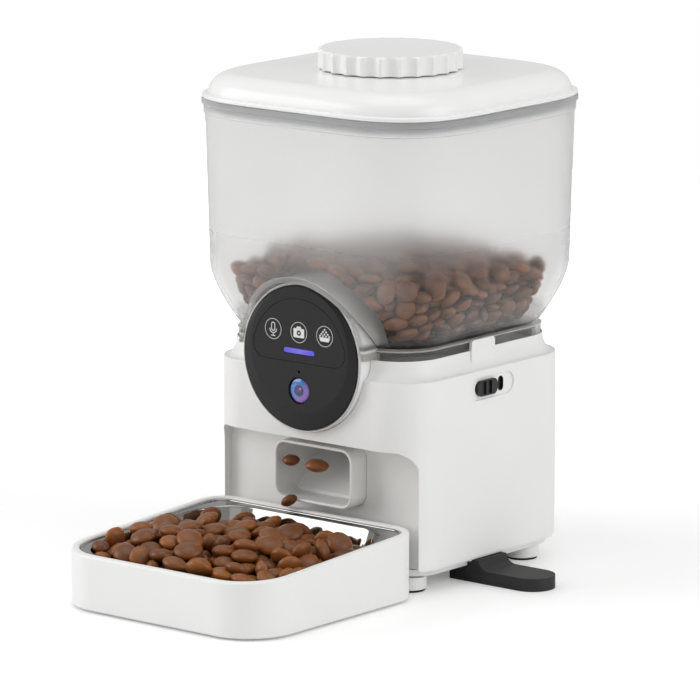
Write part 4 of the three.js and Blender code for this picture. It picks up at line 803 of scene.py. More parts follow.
def lockCuts():
    # shallow recess with the slider's slot and, behind a bar, a small window
    half, over, window = base["half"], base["overrun"], slot["window"]
    front, rear = slot["centre"] - slot["length"] / 2, slot["centre"] + slot["length"] / 2
    windowFront = rear + slot["bar"]
    windowRear = windowFront + window
    rise, grow = slot["height"] / 2, slot["border"]
    low, high = slot["z"] - rise, slot["z"] + rise
    recess = outline(front - slot["frontMargin"], windowRear + slot["rearMargin"], low - grow, high + grow,
                     rise + grow)
    # the window widens inwards, so that its edge looks thin
    depths = [(half - base["wall"] - base["fit"], slot["flare"]), (half - slot["recess"], 0),
              (half + over, 0)]
    rows = [atHeight(outline(windowFront, windowRear + deeper, low, high, window / 2), x) for x,
            deeper in depths]
    return [prism("slotRecess", recess, half - slot["recess"], half + over, "X"),
            prism("slotHole", outline(front, rear, low, high, rise), half - over, half + over, "X"),
            skin("slotWindow", facing(np.array(rows), "X"))]


def rearCuts():
    # speaker grille and power inlet
    half, over, fit = base["half"], base["overrun"], base["fit"]
    reach, rise = grille["length"] / 2, grille["height"] / 2
    cutters = []
    for index in range(grille["slots"]):
        z = grille["z"] + (index - (grille["slots"] - 1) / 2) * grille["pitch"]
        ring = outline(grille["x"] - reach, grille["x"] + reach, z - rise, z + rise, rise, steps=6)
        cutters.append(prism("grilleSlot", ring, half - over, half + over, "Y"))
    cutters.append(rod("inletHole", inlet["radius"] + fit, half - over, half + over, "Y",
                       (inlet["x"], inlet["z"]), 48))
    return cutters


def makeHousing():
    fit, over, wall, around = base["fit"], base["overrun"], base["wall"], tank["roundSteps"]
    top = base["seat"] + base["lipRise"] + over
    roofCut = base["seat"] - wall - over
    alcoveCut = alcove["back"] + wall + over
    seatHalf = tank["collarHalf"] + base["collarSlack"]
    housing = housingShell()
    cut(housing, housingInside(),
        prism("alcoveCut", alcoveRing(0), cutFront, alcove["back"], "Y"),
        prism("seatRecess", square(seatHalf, base["corner"], steps=base["steps"]), base["seat"], top),
        rod("podHole", pod["radius"] + fit, cutFront, pod["back"] + fit, "Y", (0, podHeight), around),
        rod("tubHole", tub["radius"] + fit, roofCut, top, steps=around),
        prism("mouthHole", mouthRing(-fit), cutFront, alcoveCut, "Y"),
        block("hookHole", -hook["half"] - fit, hook["half"] + fit, cutFront, alcoveCut,
              hook["bottom"] - fit, hook["bottom"] + hook["thickness"] + fit),
        block("lugHole", lug["inner"] - fit, lug["outer"] + fit, lug["front"] - fit, lug["rear"] + fit,
              roofCut, top),
        *lockCuts(), *rearCuts())
    tabRing = outline(tab["front"], tab["rear"], base["seat"] - tab["sink"], tab["top"], sharp, tab["corner"])
    join(housing, prism("tab", tabRing, seatHalf, seatHalf + tab["thickness"], "X"))
    finishPiece(housing, absWhite, "base", ["base_housing"], edge=base["edge"], sharpAngle=finish["cutAngle"])


makeHousing()
print("housing made")

# underside plate, feet and stabilisers
plate = dict(bottom=9.5, top=13.5, half=72, taper=2, front=-66.3, corner=20, spigot=2.5, headDepth=2,
             screwBore=1.9, screwSteps=24, edge=0.3)
foot = dict(edge=1.0, padEdge=0.3)
stabiliser = dict(width=27.5, centre=-2.75, inner=60, tip=126.4, height=14, tongue=8, filletStart=82,
                  filletEnd=90, filletRows=13, travel=44, cover=2, edge=1.1, steps=20)
battery = dict(half=40.5, front=15.4, rear=69.8, doorThickness=2, ledge=2)


def plateRing(inset):
    half = plate["half"] + plate["taper"] - inset
    return outline(-half, half, plate["front"] + inset, half, plate["corner"])


def channel(side, growth):
    # the room that a stabiliser slides in, grown by growth on every side
    inner = stabiliser["inner"] - stabiliser["travel"] - base["fit"] - growth
    ends = sorted((side * inner, side * (base["half"] + base["overrun"])))
    half = stabiliser["width"] / 2 + base["fit"] + growth
    return block("channel", *ends, stabiliser["centre"] - half, stabiliser["centre"] + half,
                 plate["bottom"] - base["overrun"], stabiliser["height"] + base["fit"] + growth)


def platePan():
    # tapered pan whose rim stands inside the housing
    fit, over = base["fit"], base["overrun"]
    low, rimTop = base["bottom"] - fit, base["bottom"] + plate["spigot"] - fit
    rounding = [(inset, plate["bottom"] + rise) for inset, rise in easing(plate["taper"], 5, quarterTurn, 0)]
    pan = skin("bottomPlate", np.array(ringRows(plateRing, rounding + [(0, low)])))
    rimHalf = base["half"] - base["wall"] - fit
    innerFront = alcove["back"] + base["wall"] + fit
    rimRing = outline(-rimHalf, rimHalf, innerFront, rimHalf, base["corner"] - base["wall"])
    lowerRim = prism("lowerRim", rimRing, low - plate["spigot"], low)
    keepWithin(lowerRim, prism("rimRange", plateRing(0), plate["bottom"], low))
    join(pan, lowerRim, prism("upperRim", rimRing, low, rimTop))
    cut(pan,
        prism("hollow",
              outline(-plate["half"], plate["half"], innerFront + plate["taper"], plate["half"],
                      base["corner"] / 2), plate["top"], rimTop + over))
    for side in (1, -1):
        cover = channel(side, stabiliser["cover"])
        keepWithin(cover, block("coverRange", -rimHalf, rimHalf, -base["half"], base["half"],
                                plate["top"] - fit, base["half"]))
        join(pan, cover)
    return pan


def makePlate():
    fit, over, low = base["fit"], base["overrun"], plate["bottom"]
    top = base["bottom"] + plate["spigot"] - fit + over
    cutters = [channel(1, 0), channel(-1, 0)]
    for name in ("base_screw_1", "base_screw_2", "base_screw_3", "base_screw_4"):
        centre, head = nodeRound(name)
        for radius, end in ((head + fit, low + plate["headDepth"] + fit), (plate["screwBore"], top)):
            cutters.append(rod("screwHole", radius, low - over, end, centre=centre,
                               steps=plate["screwSteps"]))
    half, ledge = battery["half"] + fit, battery["ledge"]
    cutters.append(block("doorRecess", -half, half, battery["front"] - fit, plate["half"] + over,
                         low - over, low + battery["doorThickness"] + fit))
    cutters.append(block("cellOpening", -half + ledge, half - ledge, battery["front"] + ledge,
                         battery["rear"] - ledge, low, plate["top"] + over))
    pan = platePan()
    cut(pan, *cutters)
    finishPiece(pan, absWhite, "base", ["base_bottom_plate"], edge=plate["edge"],
                sharpAngle=finish["cutAngle"])


def makeFeet():
    edge, padEdge = foot["edge"], foot["padEdge"]
    for name in ("foot_front_left", "foot_front_right", "foot_rear_left", "foot_rear_right"):
        centre, radius = nodeRound(name)
        low, high = nodeBox(name)
        profile = arc(radius - edge, low[2] + edge, edge, -90, 0, 4) + [(radius, high[2])]
        finishPiece(turned(name + "_body", profile, centre=centre), absWhite, "base", [name])
        padName = name.replace("foot", "foot_pad")
        low, high = nodeBox(padName)
        radius = nodeRound(padName)[1]
        pad = turned(name + "_rubber",
                     [(radius - padEdge, low[2]), (radius, low[2] + padEdge), (radius, high[2])],
                     centre=centre)
        finishPiece(pad, rubberBlack, "base", [padName])


def makeStabiliser(side, name, node, body):
    # profile from under the base through a concave quarter turn to the flat tongue, cut to a round-ended plan
    s, over = stabiliser, base["overrun"]
    angle = np.linspace(0, quarterTurn, s["filletRows"])
    curve = np.stack([s["filletEnd"] - (s["filletEnd"] - s["filletStart"]) * np.sin(angle),
                      s["height"] - (s["height"] - s["tongue"]) * np.cos(angle)], -1)
    profile = np.vstack([[s["inner"], 0], [s["tip"], 0], [s["tip"], s["tongue"]], curve,
                         [s["inner"], s["height"]]])
    half = s["width"] / 2
    plan = outline(s["centre"] - half, s["centre"] + half, s["inner"], s["tip"], sharp, half,
                   steps=s["steps"])
    plan = plan[:, ::-1]
    profile[:, 0] *= side
    plan[:, 0] *= side
    arm = prism(name, profile, s["centre"] - half - over, s["centre"] + half + over, "Y")
    keepWithin(arm, prism("plan", plan, -over, s["height"] + over))
    finishPiece(arm, blackMatt, body, [node], edge=s["edge"], sharpAngle=finish["cutAngle"])


makePlate()
makeFeet()
makeStabiliser(1, "stabiliserRight", "stabiliser_right", "right_stabiliser")
makeStabiliser(-1, "stabiliserLeft", "stabiliser_left", "left_stabiliser")
print("underside made")

# lock slider: pill-shaped knob with ribs in the recess of the right wall, plate and bolt inside
slider = dict(proud=1.8, ribProud=0.9, height=9.6, shortening=0.9, corner=3.4, ribs=2, rib=1.1, ribPitch=5.4,
              ribCentre=0.6, ribRiseShare=0.8, overlap=0.5, stemGap=0.5, stemRearGap=0.8, stemDepth=1.5,
              plateThickness=2.2, plateHalf=20, plateRise=5.4, boltFront=-11.8, boltRear=-1.6, boltRise=2.4,
              boltCentre=119, boltSink=1.1, edge=0.5)


def makeSlider():
    s, wallX, z = slider, base["half"], slot["z"]
    low, high = nodeBox("lock_slider")
    front, rear = slot["centre"] - slot["length"] / 2, slot["centre"] + slot["length"] / 2
    rise, ribRise = s["height"] / 2, s["height"] / 2 * s["ribRiseShare"]
    knobRing = outline(front + s["shortening"], rear - s["shortening"], z - rise, z + rise, s["corner"])
    knobBody = prism("sliderKnob", knobRing, wallX - slot["recess"] + base["fit"],
                     wallX + s["proud"] - s["ribProud"], "X")
    stemRise = slot["height"] / 2 - s["stemGap"]
    stemRing = outline(front + s["stemGap"], rear - slot["travel"] - s["stemRearGap"], z - stemRise,
                       z + stemRise, stemRise)
    join(knobBody, prism("stem", stemRing, wallX - base["wall"] - s["stemDepth"], wallX - s["overlap"], "X"))
    for index in range(s["ribs"]):
        y = slot["centre"] + s["ribCentre"] + (index - (s["ribs"] - 1) / 2) * s["ribPitch"]
        join(knobBody, block("rib", wallX - s["overlap"], high[0], y - s["rib"], y + s["rib"],
                             z - ribRise, z + ribRise))
    # the part of the CAD slider that lies inside the wall keeps its place: plate and bolt
    inner = wallX - base["wall"] - base["fit"]
    innerPlate = block("innerPlate", inner - s["plateThickness"], inner, slot["centre"] - s["plateHalf"],
                       slot["centre"] + s["plateHalf"], z - s["plateRise"], z + s["plateRise"])
    join(innerPlate, block("bolt", low[0], inner - s["boltSink"], s["boltFront"], s["boltRear"],
                           s["boltCentre"] - s["boltRise"], s["boltCentre"] + s["boltRise"]))
    join(knobBody, innerPlate)
    finishPiece(knobBody, blackSlider, "lock", ["lock_slider"], edge=s["edge"], sharpAngle=finish["cutAngle"])


makeSlider()

# food spout with a rounded lip, sloped floor inside
chute = dict(back=-24, rise=74, lip=1.0, lipRows=6)


def makeChute():
    fit, over, wall, lip, plane = base["fit"], base["overrun"], mouth["wall"], chute["lip"], mouth["plane"]
    wallBack, back, rise = alcove["back"] + base["wall"] + fit, chute["back"], chute["rise"]
    low, high = mouth["centre"] - mouth["height"] / 2, mouth["centre"] + mouth["height"] / 2
    top = tub["floor"] - fit
    half = mouth["width"] / 2
    rounding = easing(lip, chute["lipRows"])
    outerSteps = [(0, wallBack + wall)] + [(inset, plane + depth) for inset, depth in rounding]
    innerSteps = [(wall, wallBack + wall + fit)] + [(wall - inset, plane + depth) for inset,
                                                    depth in rounding]
    innerSteps.append((wall - lip, plane - over))
    spout = skin("foodSpout", facing(np.array(ringRows(mouthRing, outerSteps)), "Y"))
    spoutInside = skin("spoutInside", facing(np.array(ringRows(mouthRing, innerSteps)), "Y"))
    side = np.array([[wallBack, low], [back, rise], [back, top], [wallBack, top]])
    innerSide = np.array([[wallBack, low + wall], [back - wall, rise + wall], [back - wall, top + over],
                          [wallBack + wall, top + over], [wallBack + wall, high - wall],
                          [wallBack, high - wall]])
    join(spout, prism("chuteBody", side, -half, half, "X"))
    cut(spout, spoutInside, prism("chuteInside", innerSide, -half + wall, half - wall, "X"))
    finishPiece(spout, absWhite, "base", ["food_chute"])


makeChute()


def makeTub():
    # rotor chamber, seen when the tank is off, with the opening that the food drops through
    t, around, over = tub, tank["roundSteps"], base["overrun"]
    inner, floor, floorTop, radius = t["radius"] - t["wall"], t["floor"], t["floorTop"], t["radius"]
    top = nodeBox("rotor_chamber")[1][2]
    flangeLow = top - t["flangeThickness"]
    chamber = turned("rotorTub", [
        (hub, floor), (radius - t["round"], floor), (radius, floor + t["round"]), (radius, flangeLow),
        (t["flange"], flangeLow), (t["flange"], top), (inner, top), (inner, floorTop + t["innerRound"]),
        (inner - t["innerDraw"], floorTop + t["innerDraw"]), (inner - t["innerRound"], floorTop),
        (hub, floorTop)], steps=around)
    dropBox = block("dropBox", -t["dropHalf"], t["dropHalf"], -radius, t["dropRear"], floor - over,
                    floorTop + base["fit"])
    keepWithin(dropBox,
               rod("dropDisc", inner - t["dropInset"], floor - 2 * over, floorTop + over, steps=around))
    cut(chamber, dropBox, rod("shaftHole", t["shaftHole"], floor - over, floorTop + over, steps=32))
    finishPiece(chamber, absInner, "base", ["rotor_chamber"])


makeTub()
print("slider, spout and rotor chamber made")

# camera pod: cup, clear ring, black faceplate with a D-shaped key panel
panel = dict(radius=36, bottom=-2.5, corner=8.5, thickness=0.6, steps=48, cornerSteps=12)
flatDisc = dict(radius=37.6, rise=5.6, fall=1.0, edge=0.5, rows=7)
key = dict(radius=6.5, spacing=20, rise=15.7, edge=0.25, flange=1.1, flangeThickness=0.8, stem=2,
           stemLength=2.4)
lightBar = dict(width=24, height=3.1, rise=4, depth=6, edge=0.3, edgeDraw=0.08, steps=8)
lens = dict(radius=7.9, bore=7.65, rise=-19.8, edge=0.15, boreEdge=0.1, boreDepth=5, dome=1.0, domeStart=0.04,
            domeRows=12, steps=72)
mic = dict(hole=0.9, rise=-8.3, steps=24)
keyBodies = {"talk_key": "talk", "camera_key": "picture", "feed_key": "feed"}
keyPlaces = dict(zip(keyBodies, (-key["spacing"], 0, key["spacing"])))


def aboutPod(ring, rise=0.0):
    # a flat (x, z) ring moved to the pod's height
    return ring + np.array([0, podHeight + rise])


def panelRing(growth):
    # top of a disc closed by a straight lower edge; the corners are arcs that touch both
    radius = panel["radius"] + growth
    corner = panel["corner"] + growth
    rise = panel["bottom"] - growth + corner
    cornerX = math.sqrt((radius - corner) ** 2 - rise ** 2)
    bend = math.degrees(math.atan2(rise, cornerX))
    points = arc(0, 0, radius, bend, 180 - bend, panel["steps"])
    points += arc(-cornerX, rise, corner, 180 - bend, 270, panel["cornerSteps"])[1:]
    points += arc(cornerX, rise, corner, 270, 360 + bend, panel["cornerSteps"])[:-1]
    return aboutPod(np.array(points))


def barRing(growth):
    half = lightBar["width"] / 2 + growth
    rise = lightBar["height"] / 2 + growth
    return aboutPod(outline(-half, half, -rise, rise, rise, steps=lightBar["steps"]), lightBar["rise"])


def podRod(name, radius, front, back, rise, x=0.0, steps=64):
    return rod(name, radius, front, back, "Y", (x, podHeight + rise), steps)


def podTurned(name, profile, steps=pod["steps"], closed=False):
    return turned(name, profile, "Y", (0, podHeight), steps, closed)


def makePodCup():
    r, wall, edge, back = pod["radius"], pod["wall"], pod["edge"], pod["back"]
    front = pod["face"] + pod["plateThickness"] + base["fit"]
    profile = [(hub, back), (r - edge, back), (r, back - edge)]
    profile += arc(r - edge, front + edge, edge, 0, -90, 4)
    profile += [(r - wall, front), (r - wall, back - wall), (hub, back - wall)]
    finishPiece(podTurned("podCup", profile), absWhite, "base", ["camera_pod"])
    rear = nodeBox("pod_trim_ring")[1][1]
    front = rear - pod["ringDepth"]
    inner, edge, rearEdge = pod["plateRadius"] + base["fit"], pod["ringEdge"], pod["ringRearEdge"]
    ring = podTurned("trimRing",
                     [(inner, rear), (r - rearEdge, rear), (r, rear - rearEdge), (r, front + edge),
                      (r - edge, front), (inner, front)], closed=True)
    finishPiece(ring, ringClear, "base", ["pod_trim_ring"])


def faceDisc():
    # flat inside a circle that stands higher than the middle, sloped between it and the edge
    face, back = pod["face"], pod["face"] + pod["plateThickness"]
    f, radius = flatDisc, pod["plateRadius"]
    reach = radius - f["edge"] - f["radius"]
    slope = [(f["rise"] * (1 - s), f["radius"] + s * reach, face + f["fall"] * s)
             for s in np.linspace(0, 1, f["rows"])]
    edge = [(0, u, v) for u,
            v in arc(radius - f["edge"], face + f["fall"] + f["edge"], f["edge"], -90, 0, 4)[1:]]
    rings = [(f["rise"], hub, face)] + slope + edge + [(0, radius, back), (0, hub, back)]
    rows = np.array([atHeight(circle(r, pod["steps"], 0, podHeight + rise), y) for rise, r, y in rings])
    return skin("faceplate", facing(rows, "Y"))


def makeFaceplate():
    face, fit, over = pod["face"], base["fit"], base["overrun"]
    before, behind = face - over, face + pod["plateThickness"] + over

    def keyCuts():
        cutters = [podRod("keyCut", key["radius"] + fit, before, behind, key["rise"], x)
                   for x in keyPlaces.values()]
        return [prism("barCut", barRing(fit), before, behind, "Y")] + cutters

    plateBody = faceDisc()
    cut(plateBody, prism("panelCut", panelRing(fit), before, face + panel["thickness"] + fit, "Y"),
        podRod("lensCut", lens["radius"] + fit, before, behind, lens["rise"], steps=lens["steps"]),
        podRod("micCut", mic["hole"], before, behind, mic["rise"], steps=mic["steps"]), *keyCuts())
    finishPiece(plateBody, blackFace, "base", ["camera_faceplate"])
    keyPanel = prism("keyPanel", panelRing(0), face, face + panel["thickness"], "Y")
    cut(keyPanel, *keyCuts())
    finishPiece(keyPanel, blackFace, "base", ["key_panel"])


def makeKeys():
    face, radius, edge, stem = pod["face"], key["radius"], key["edge"], key["stem"]
    back = face + pod["plateThickness"] + base["fit"] + key["flangeThickness"]
    shoulder = back - key["flangeThickness"]
    wide = radius + key["flange"]
    profile = [(hub, face), (radius - edge, face), (radius, face + edge), (radius, shoulder),
               (wide, shoulder), (wide, back), (stem, back), (stem, back + key["stemLength"])]
    for node, body in keyBodies.items():
        cap = turned(node + "_cap", profile, "Y", (keyPlaces[node], podHeight + key["rise"]))
        finishPiece(cap, blackFace, body, [node])


def makeLens():
    face, radius, bore = pod["face"], lens["radius"], lens["bore"]
    low, high = nodeBox("lens_barrel")
    front, rear = low[1], high[1]
    centre = (0, podHeight + lens["rise"])
    step = lens["boreEdge"]
    barrel = turned("lensRing", [(hub, rear), (radius, rear), (radius, front + lens["edge"]),
                                 (radius - lens["edge"], front), (bore + step, front), (bore, front + step),
                                 (bore, front + lens["boreDepth"]), (hub, front + lens["boreDepth"])],
                    "Y", centre, lens["steps"])
    finishPiece(barrel, blackSlider, "base", ["lens_barrel"])
    # glass: spherical cap of dome mm over a short cylinder
    radius = bore - base["fit"] / 2
    cap = [(radius * math.sin(a), face + lens["dome"] * (1 - math.cos(a)))
           for a in np.linspace(lens["domeStart"], quarterTurn, lens["domeRows"])]
    glass = turned("lensDome", cap + [(radius, nodeBox("lens_glass")[1][1])], "Y", centre, lens["steps"])
    finishPiece(glass, makeLensGlass((0, face, centre[1]), radius), "base", ["lens_glass"])


def makeLightBar():
    face, edge, draw = pod["face"], lightBar["edge"], lightBar["edgeDraw"]
    steps = [(-edge, face), (-draw, face + draw), (0, face + edge), (0, face + lightBar["depth"])]
    bar = skin("lightGuide", facing(np.array(ringRows(barRing, steps)), "Y"))
    finishPiece(bar, lightViolet, "base", ["status_light_bar"])


makePodCup()
makeFaceplate()
makeKeys()
makeLens()
makeLightBar()
print("camera pod made")

# printed symbols on the keys, drawn about the key's middle and then scaled
ink = dict(thickness=0.08, gap=0.02, stroke=0.42, ringRadius=6.2, ringStroke=0.5, scale=1.22)
capsule = dict(half=1.05, low=-0.9, high=3.2, cradle=2.15, cradleRise=0.1, stemTop=-2.05, foot=-3.4,
               footHalf=1.3)
photo = dict(half=3.4, low=-2.6, high=2.0, corner=0.6, hole=1.35, glass=0.5, middle=-0.3, humpHalf=1.7,
             humpTop=1.2, humpLow=1.9, humpHigh=3.0)
dish = dict(half=3.8, rim=-0.6, radius=3.2, bottom=-2.6, dot=0.5, pitch=2.0, rowHeights=(3.3, 2.2, 1.1, 0.1),
            outer=2.9)


def ribbon(points, width, closed=False):
    # strip of the given width along (x, z) points: each point moves half the width along its normal
    points = np.array(points, float)
    ahead = np.roll(points, -1, 0) if closed else np.vstack([points[1:], 2 * points[-1] - points[-2]])
    behind = np.roll(points, 1, 0) if closed else np.vstack([2 * points[0] - points[1], points[:-1]])
    along = ahead - behind
    along /= np.linalg.norm(along, axis=1)[:, None]
    side = np.stack([-along[:, 1], along[:, 0]], -1) * width / 2
    return band(points + side, points - side, closed)


def band(ring, hole, closed=True):
    # the quads between two lines with as many points
    count = len(ring)
    faces = [(i, (i + 1) % count, count + (i + 1) % count,
              count + i) for i in range(count if closed else count - 1)]
    return np.vstack([ring, hole]), faces


def patch(ring):
    # a filled outline, as a fan about its middle
    ring = np.array(ring, float)
    count = len(ring)
    return np.vstack([ring, ring.mean(0)]), [(i, (i + 1) % count, count) for i in range(count)]


def printShapes(name, shapes, node, material, scale=ink["scale"]):
    # flat shapes in (x, z) about a key's middle, given the ink's thickness
    points, faces, start = [], [], 0
    for rows, shapeFaces in shapes:
        points.append(rows)
        faces += [tuple(start + i for i in face) for face in shapeFaces]
        start += len(rows)
    flat = np.vstack(points) * scale + [keyPlaces[node], podHeight + key["rise"]]
    mesh = bpy.data.meshes.new(name)
    mesh.from_pydata(inFrame(facing(atHeight(flat, pod["face"] - ink["gap"]), "Y")).tolist(), [], faces)
    printed = bpy.data.objects.new(name, mesh)
    bpy.context.scene.collection.objects.link(printed)
    thick = printed.modifiers.new("ink", "SOLIDIFY")
    thick.thickness = ink["thickness"] * metre
    thick.offset = 0
    bake(printed)
    finishPiece(printed, material, keyBodies[node])


def microphoneShapes():
    # capsule outline, cradle, stem and foot
    c, stroke = capsule, ink["stroke"]
    ring = outline(-c["half"], c["half"], c["low"], c["high"], c["half"], steps=8)
    cradle = arc(0, c["cradleRise"], c["cradle"], 180, 360, 16)
    return [ribbon(ring, stroke, True), ribbon(cradle, stroke),
            ribbon([(0, c["stemTop"]), (0, c["foot"])], stroke),
            ribbon([(-c["footHalf"], c["foot"]), (c["footHalf"], c["foot"])], stroke)]


def cameraShapes():
    # body with a round hole, a hump above and the lens in the hole
    p = photo
    ring = outline(-p["half"], p["half"], p["low"], p["high"], p["corner"], steps=7)
    hole = arc(0, p["middle"], p["hole"], 0, 360, len(ring))[:-1]
    hump = [(-p["humpHalf"], p["humpLow"]), (p["humpHalf"], p["humpLow"]), (p["humpTop"], p["humpHigh"]),
            (-p["humpTop"], p["humpHigh"])]
    # the hole's points are shifted against the body's by half as many as a corner has
    return [band(ring, np.roll(hole, -4, 0)), patch(hump), patch(circle(p["glass"], 16, 0, p["middle"]))]


def foodShapes():
    # shallow bowl under a heap of dots: one, two, three and four to a row
    d = dish
    ring = [(-d["half"], d["rim"]), (d["half"], d["rim"])] + arc(0, d["rim"], d["radius"], 0, -180, 20)
    ring = [(u, max(v, d["bottom"])) for u, v in ring]
    shapes = [patch(ring)]
    for row, height in enumerate(d["rowHeights"]):
        for place in range(row + 1):
            across = (place - row / 2) * d["pitch"]
            across = max(-d["outer"], min(d["outer"], across))
            shapes.append(patch(circle(d["dot"], 12, across, height)))
    return shapes


def makeSymbols():
    for node in keyBodies:
        printShapes(node + "_ring", [ribbon(circle(ink["ringRadius"]), ink["ringStroke"], True)], node,
                    inkGrey, 1)
    printShapes("microphoneSymbol", microphoneShapes(), "talk_key", inkWhite)
    printShapes("cameraSymbol", cameraShapes(), "camera_key", inkWhite)
    printShapes("foodSymbol", foodShapes(), "feed_key", inkWhite)


makeSymbols()
print("symbols printed")

# feeding tray with a sloped rim, and the drawn steel bowl in it
tray = dict(half=80.25, front=-221.4, rear=-69.1, frontCorner=32, rearCorner=18, frontRim=34.5, rearRim=42.5,
            low=1.3, floor=4.3, bead=4.8, round=1.7, innerRoundShare=0.7, ledgeDrop=2.9, ledgeWidth=6,
            bottomRound=1.2, steps=24, padEdge=0.2)
bowl = dict(sheet=0.8, roll=0.8, rollWidth=1.8, rollGap=0.2, basinInset=9.5, frontCorner=26,
            rearCorner=30, floor=9, draft=7, bottomRound=7, lip=1.8, lipShare=0.3, lipDrop=0.3,
            rollEnd=0.2)


def rimHeight(y):
    # the rim climbs evenly from the front to the rear
    share = (y - tray["front"]) / (tray["rear"] - tray["front"])
    return tray["frontRim"] + share * (tray["rearRim"] - tray["frontRim"])


def trayOutline(edge, frontCorner, rearCorner):
    return outline(-tray["half"] + edge, tray["half"] - edge, tray["front"] + edge, tray["rear"] - edge,
                   frontCorner, rearCorner, steps=tray["steps"])


def trayRing(inset):
    return trayOutline(inset, tray["frontCorner"] - inset, tray["rearCorner"] - inset)


def basinRing(inset):
    return trayOutline(bowl["basinInset"] + inset, bowl["frontCorner"] - inset, bowl["rearCorner"] - inset)


def below(ring, drop):
    # a ring set drop mm under the sloped rim
    return atHeight(ring, rimHeight(ring[:, 1]) - drop)


def makeTray():
    r, bead, low, drop = tray["round"], tray["bead"], tray["low"], tray["ledgeDrop"]
    foot = [(inset, low + rise) for inset, rise in easing(tray["bottomRound"], 5, quarterTurn, 0)]
    innerRound = easing(r * tray["innerRoundShare"], 6, quarterTurn, 0)
    rows = ringRows(trayRing, foot)
    rows += [below(trayRing(inset), fall) for inset, fall in easing(r, 7)]
    rows += [below(trayRing(bead - inset), fall) for inset, fall in innerRound]
    ledge = bead + tray["ledgeWidth"] / 2
    rows += [below(trayRing(bead), drop), below(trayRing(ledge), drop),
             atHeight(trayRing(ledge), tray["floor"])]
    body = skin("trayBody", np.array(rows))
    join(body,
         block("tongue", -hook["half"], hook["half"], tray["rear"] - bead / 2,
               tray["rear"] + hook["length"], hook["bottom"], hook["bottom"] + hook["thickness"]))
    finishPiece(body, absWhite, "tray", ["feeding_tray"])


def basinRows(sheet, count):
    # floor, lower round and draft of the basin, drawn in and lifted by sheet
    draft, floor = bowl["draft"] + sheet, bowl["floor"] + sheet
    return [(draft + inset, floor + rise) for inset,
            rise in easing(bowl["bottomRound"], count, quarterTurn, 0)]


def makeBowl():
    b, roll, lip, sheet = bowl, bowl["roll"], bowl["lip"], bowl["sheet"]
    edge = tray["bead"] + base["fit"]
    seat = tray["ledgeDrop"] - base["fit"]
    top = seat - 2 * roll
    # outside: floor, lower round and wall up to the underside of the flange
    rows = ringRows(basinRing, basinRows(0, 9))
    rows += [below(basinRing(0), seat + lip), below(basinRing(-lip * b["lipShare"]), seat + b["lipDrop"]),
             below(basinRing(-lip), seat), below(trayRing(edge), seat)]
    # rolled edge: half a circle outside, half inside
    for inset, fall in easing(roll, 9, -quarterTurn)[1:]:
        rows.append(below(trayRing(edge + inset), top + fall))
    for inset, fall in easing(roll, 6, quarterTurn, b["rollEnd"])[1:]:
        rows.append(below(trayRing(edge + 2 * roll - inset), top + fall))
    flange = seat - sheet
    rows.append(below(trayRing(edge + b["rollWidth"] + b["rollGap"]), flange))
    # lip: quarter turn from the flange down into the basin
    for fall, inset in easing(lip, 8):
        rows.append(below(basinRing(sheet - inset), flange + fall))
    rows += ringRows(basinRing, basinRows(sheet, 12)[::-1])
    finishPiece(skin("bowlBody", np.array(rows)), bowlSteel, "bowl", ["steel_bowl"])


def makeTrayPads():
    for node in ("tray_pad_left", "tray_pad_right"):
        low, high = nodeBox(node)
        half = (high[0] - low[0]) / 2
        strip = prism(node + "_strip", outline(low[0], high[0], low[1], high[1], half), low[2], high[2])
        finishPiece(strip, rubberBlack, "tray", [node], edge=tray["padEdge"], sharpAngle=finish["cutAngle"])


makeTray()
makeBowl()
makeTrayPads()
print("tray and bowl made")

kibble = dict(radii=(5.4, 7.2, 8.0, 8.7), halfThickness=(3.3, 3.9, 4.1, 4.0), around=14, rings=5,
              edgePower=1.15, oval=0.045, tilt=0.6, seed=11)
start = dict(pitch=17.4, rise=12.5, jitter=0.4, quickPitch=15, quickRise=7.5, quickTiltShare=0.7, floorGap=1,
             ceiling=400)
run = dict(unit=0.01, substeps=8, iterations=12, gravity=-60, friction=0.6, bounce=0.05, margin=0.005)
# the tank's pile takes darker tones than the bowl's: painted shade for the dim inside of the tank
tankPile = dict(count=1060, quickCount=640, frames=60, slope=0.12, wallGap=2.5, cornerReach=1.35, size=0.84,
                tonesAndShade=(0.0, 0.6))
bowlPile = dict(count=320, quickCount=190, frames=60, slope=0.12, farSlopeParts=3, wallGap=3,
                dropHeight=2, fence=220, size=1.0, tonesAndShade=(0.3, 1.0), leaning=(-16.7, -76, 47.4),
                leaningTurn=(0.0, -0.6, 0.0))
falling = dict(places=[(-20.1, -70, 70.9), (3.6, -74, 71.5)], turns=[(0.12, 0.0, 0.3), (0.1, 0.03, 1.2)])
kinds = len(kibble["radii"])


def kibblePoints(kind, size):
    # latitude v: reach = radius * cos v, rise = thickness * sign(sin v) * |sin v|^edgePower; slightly oval
    latitude = np.linspace(-quarterTurn, quarterTurn, kibble["rings"] + 2)[1:-1, None]
    turn = np.linspace(0, 2 * np.pi, kibble["around"], endpoint=False)[None, :]
    reach = kibble["radii"][kind] * np.cos(latitude) * (1 + kibble["oval"] * np.cos(2 * turn + kind))
    sine = np.sin(latitude)
    pole = kibble["halfThickness"][kind]
    rise = pole * np.sign(sine) * np.abs(sine) ** kibble["edgePower"]
    rows = np.stack(np.broadcast_arrays(reach * np.cos(turn), reach * np.sin(turn), rise), -1).reshape(-1, 3)
    return np.vstack([rows, [0, 0, -pole], [0, 0, pole]]) * size


def kibbleFaces():
    around, rings = kibble["around"], kibble["rings"]
    return skinFaces(rings, around) + capFaces(rings * around, rings, around)


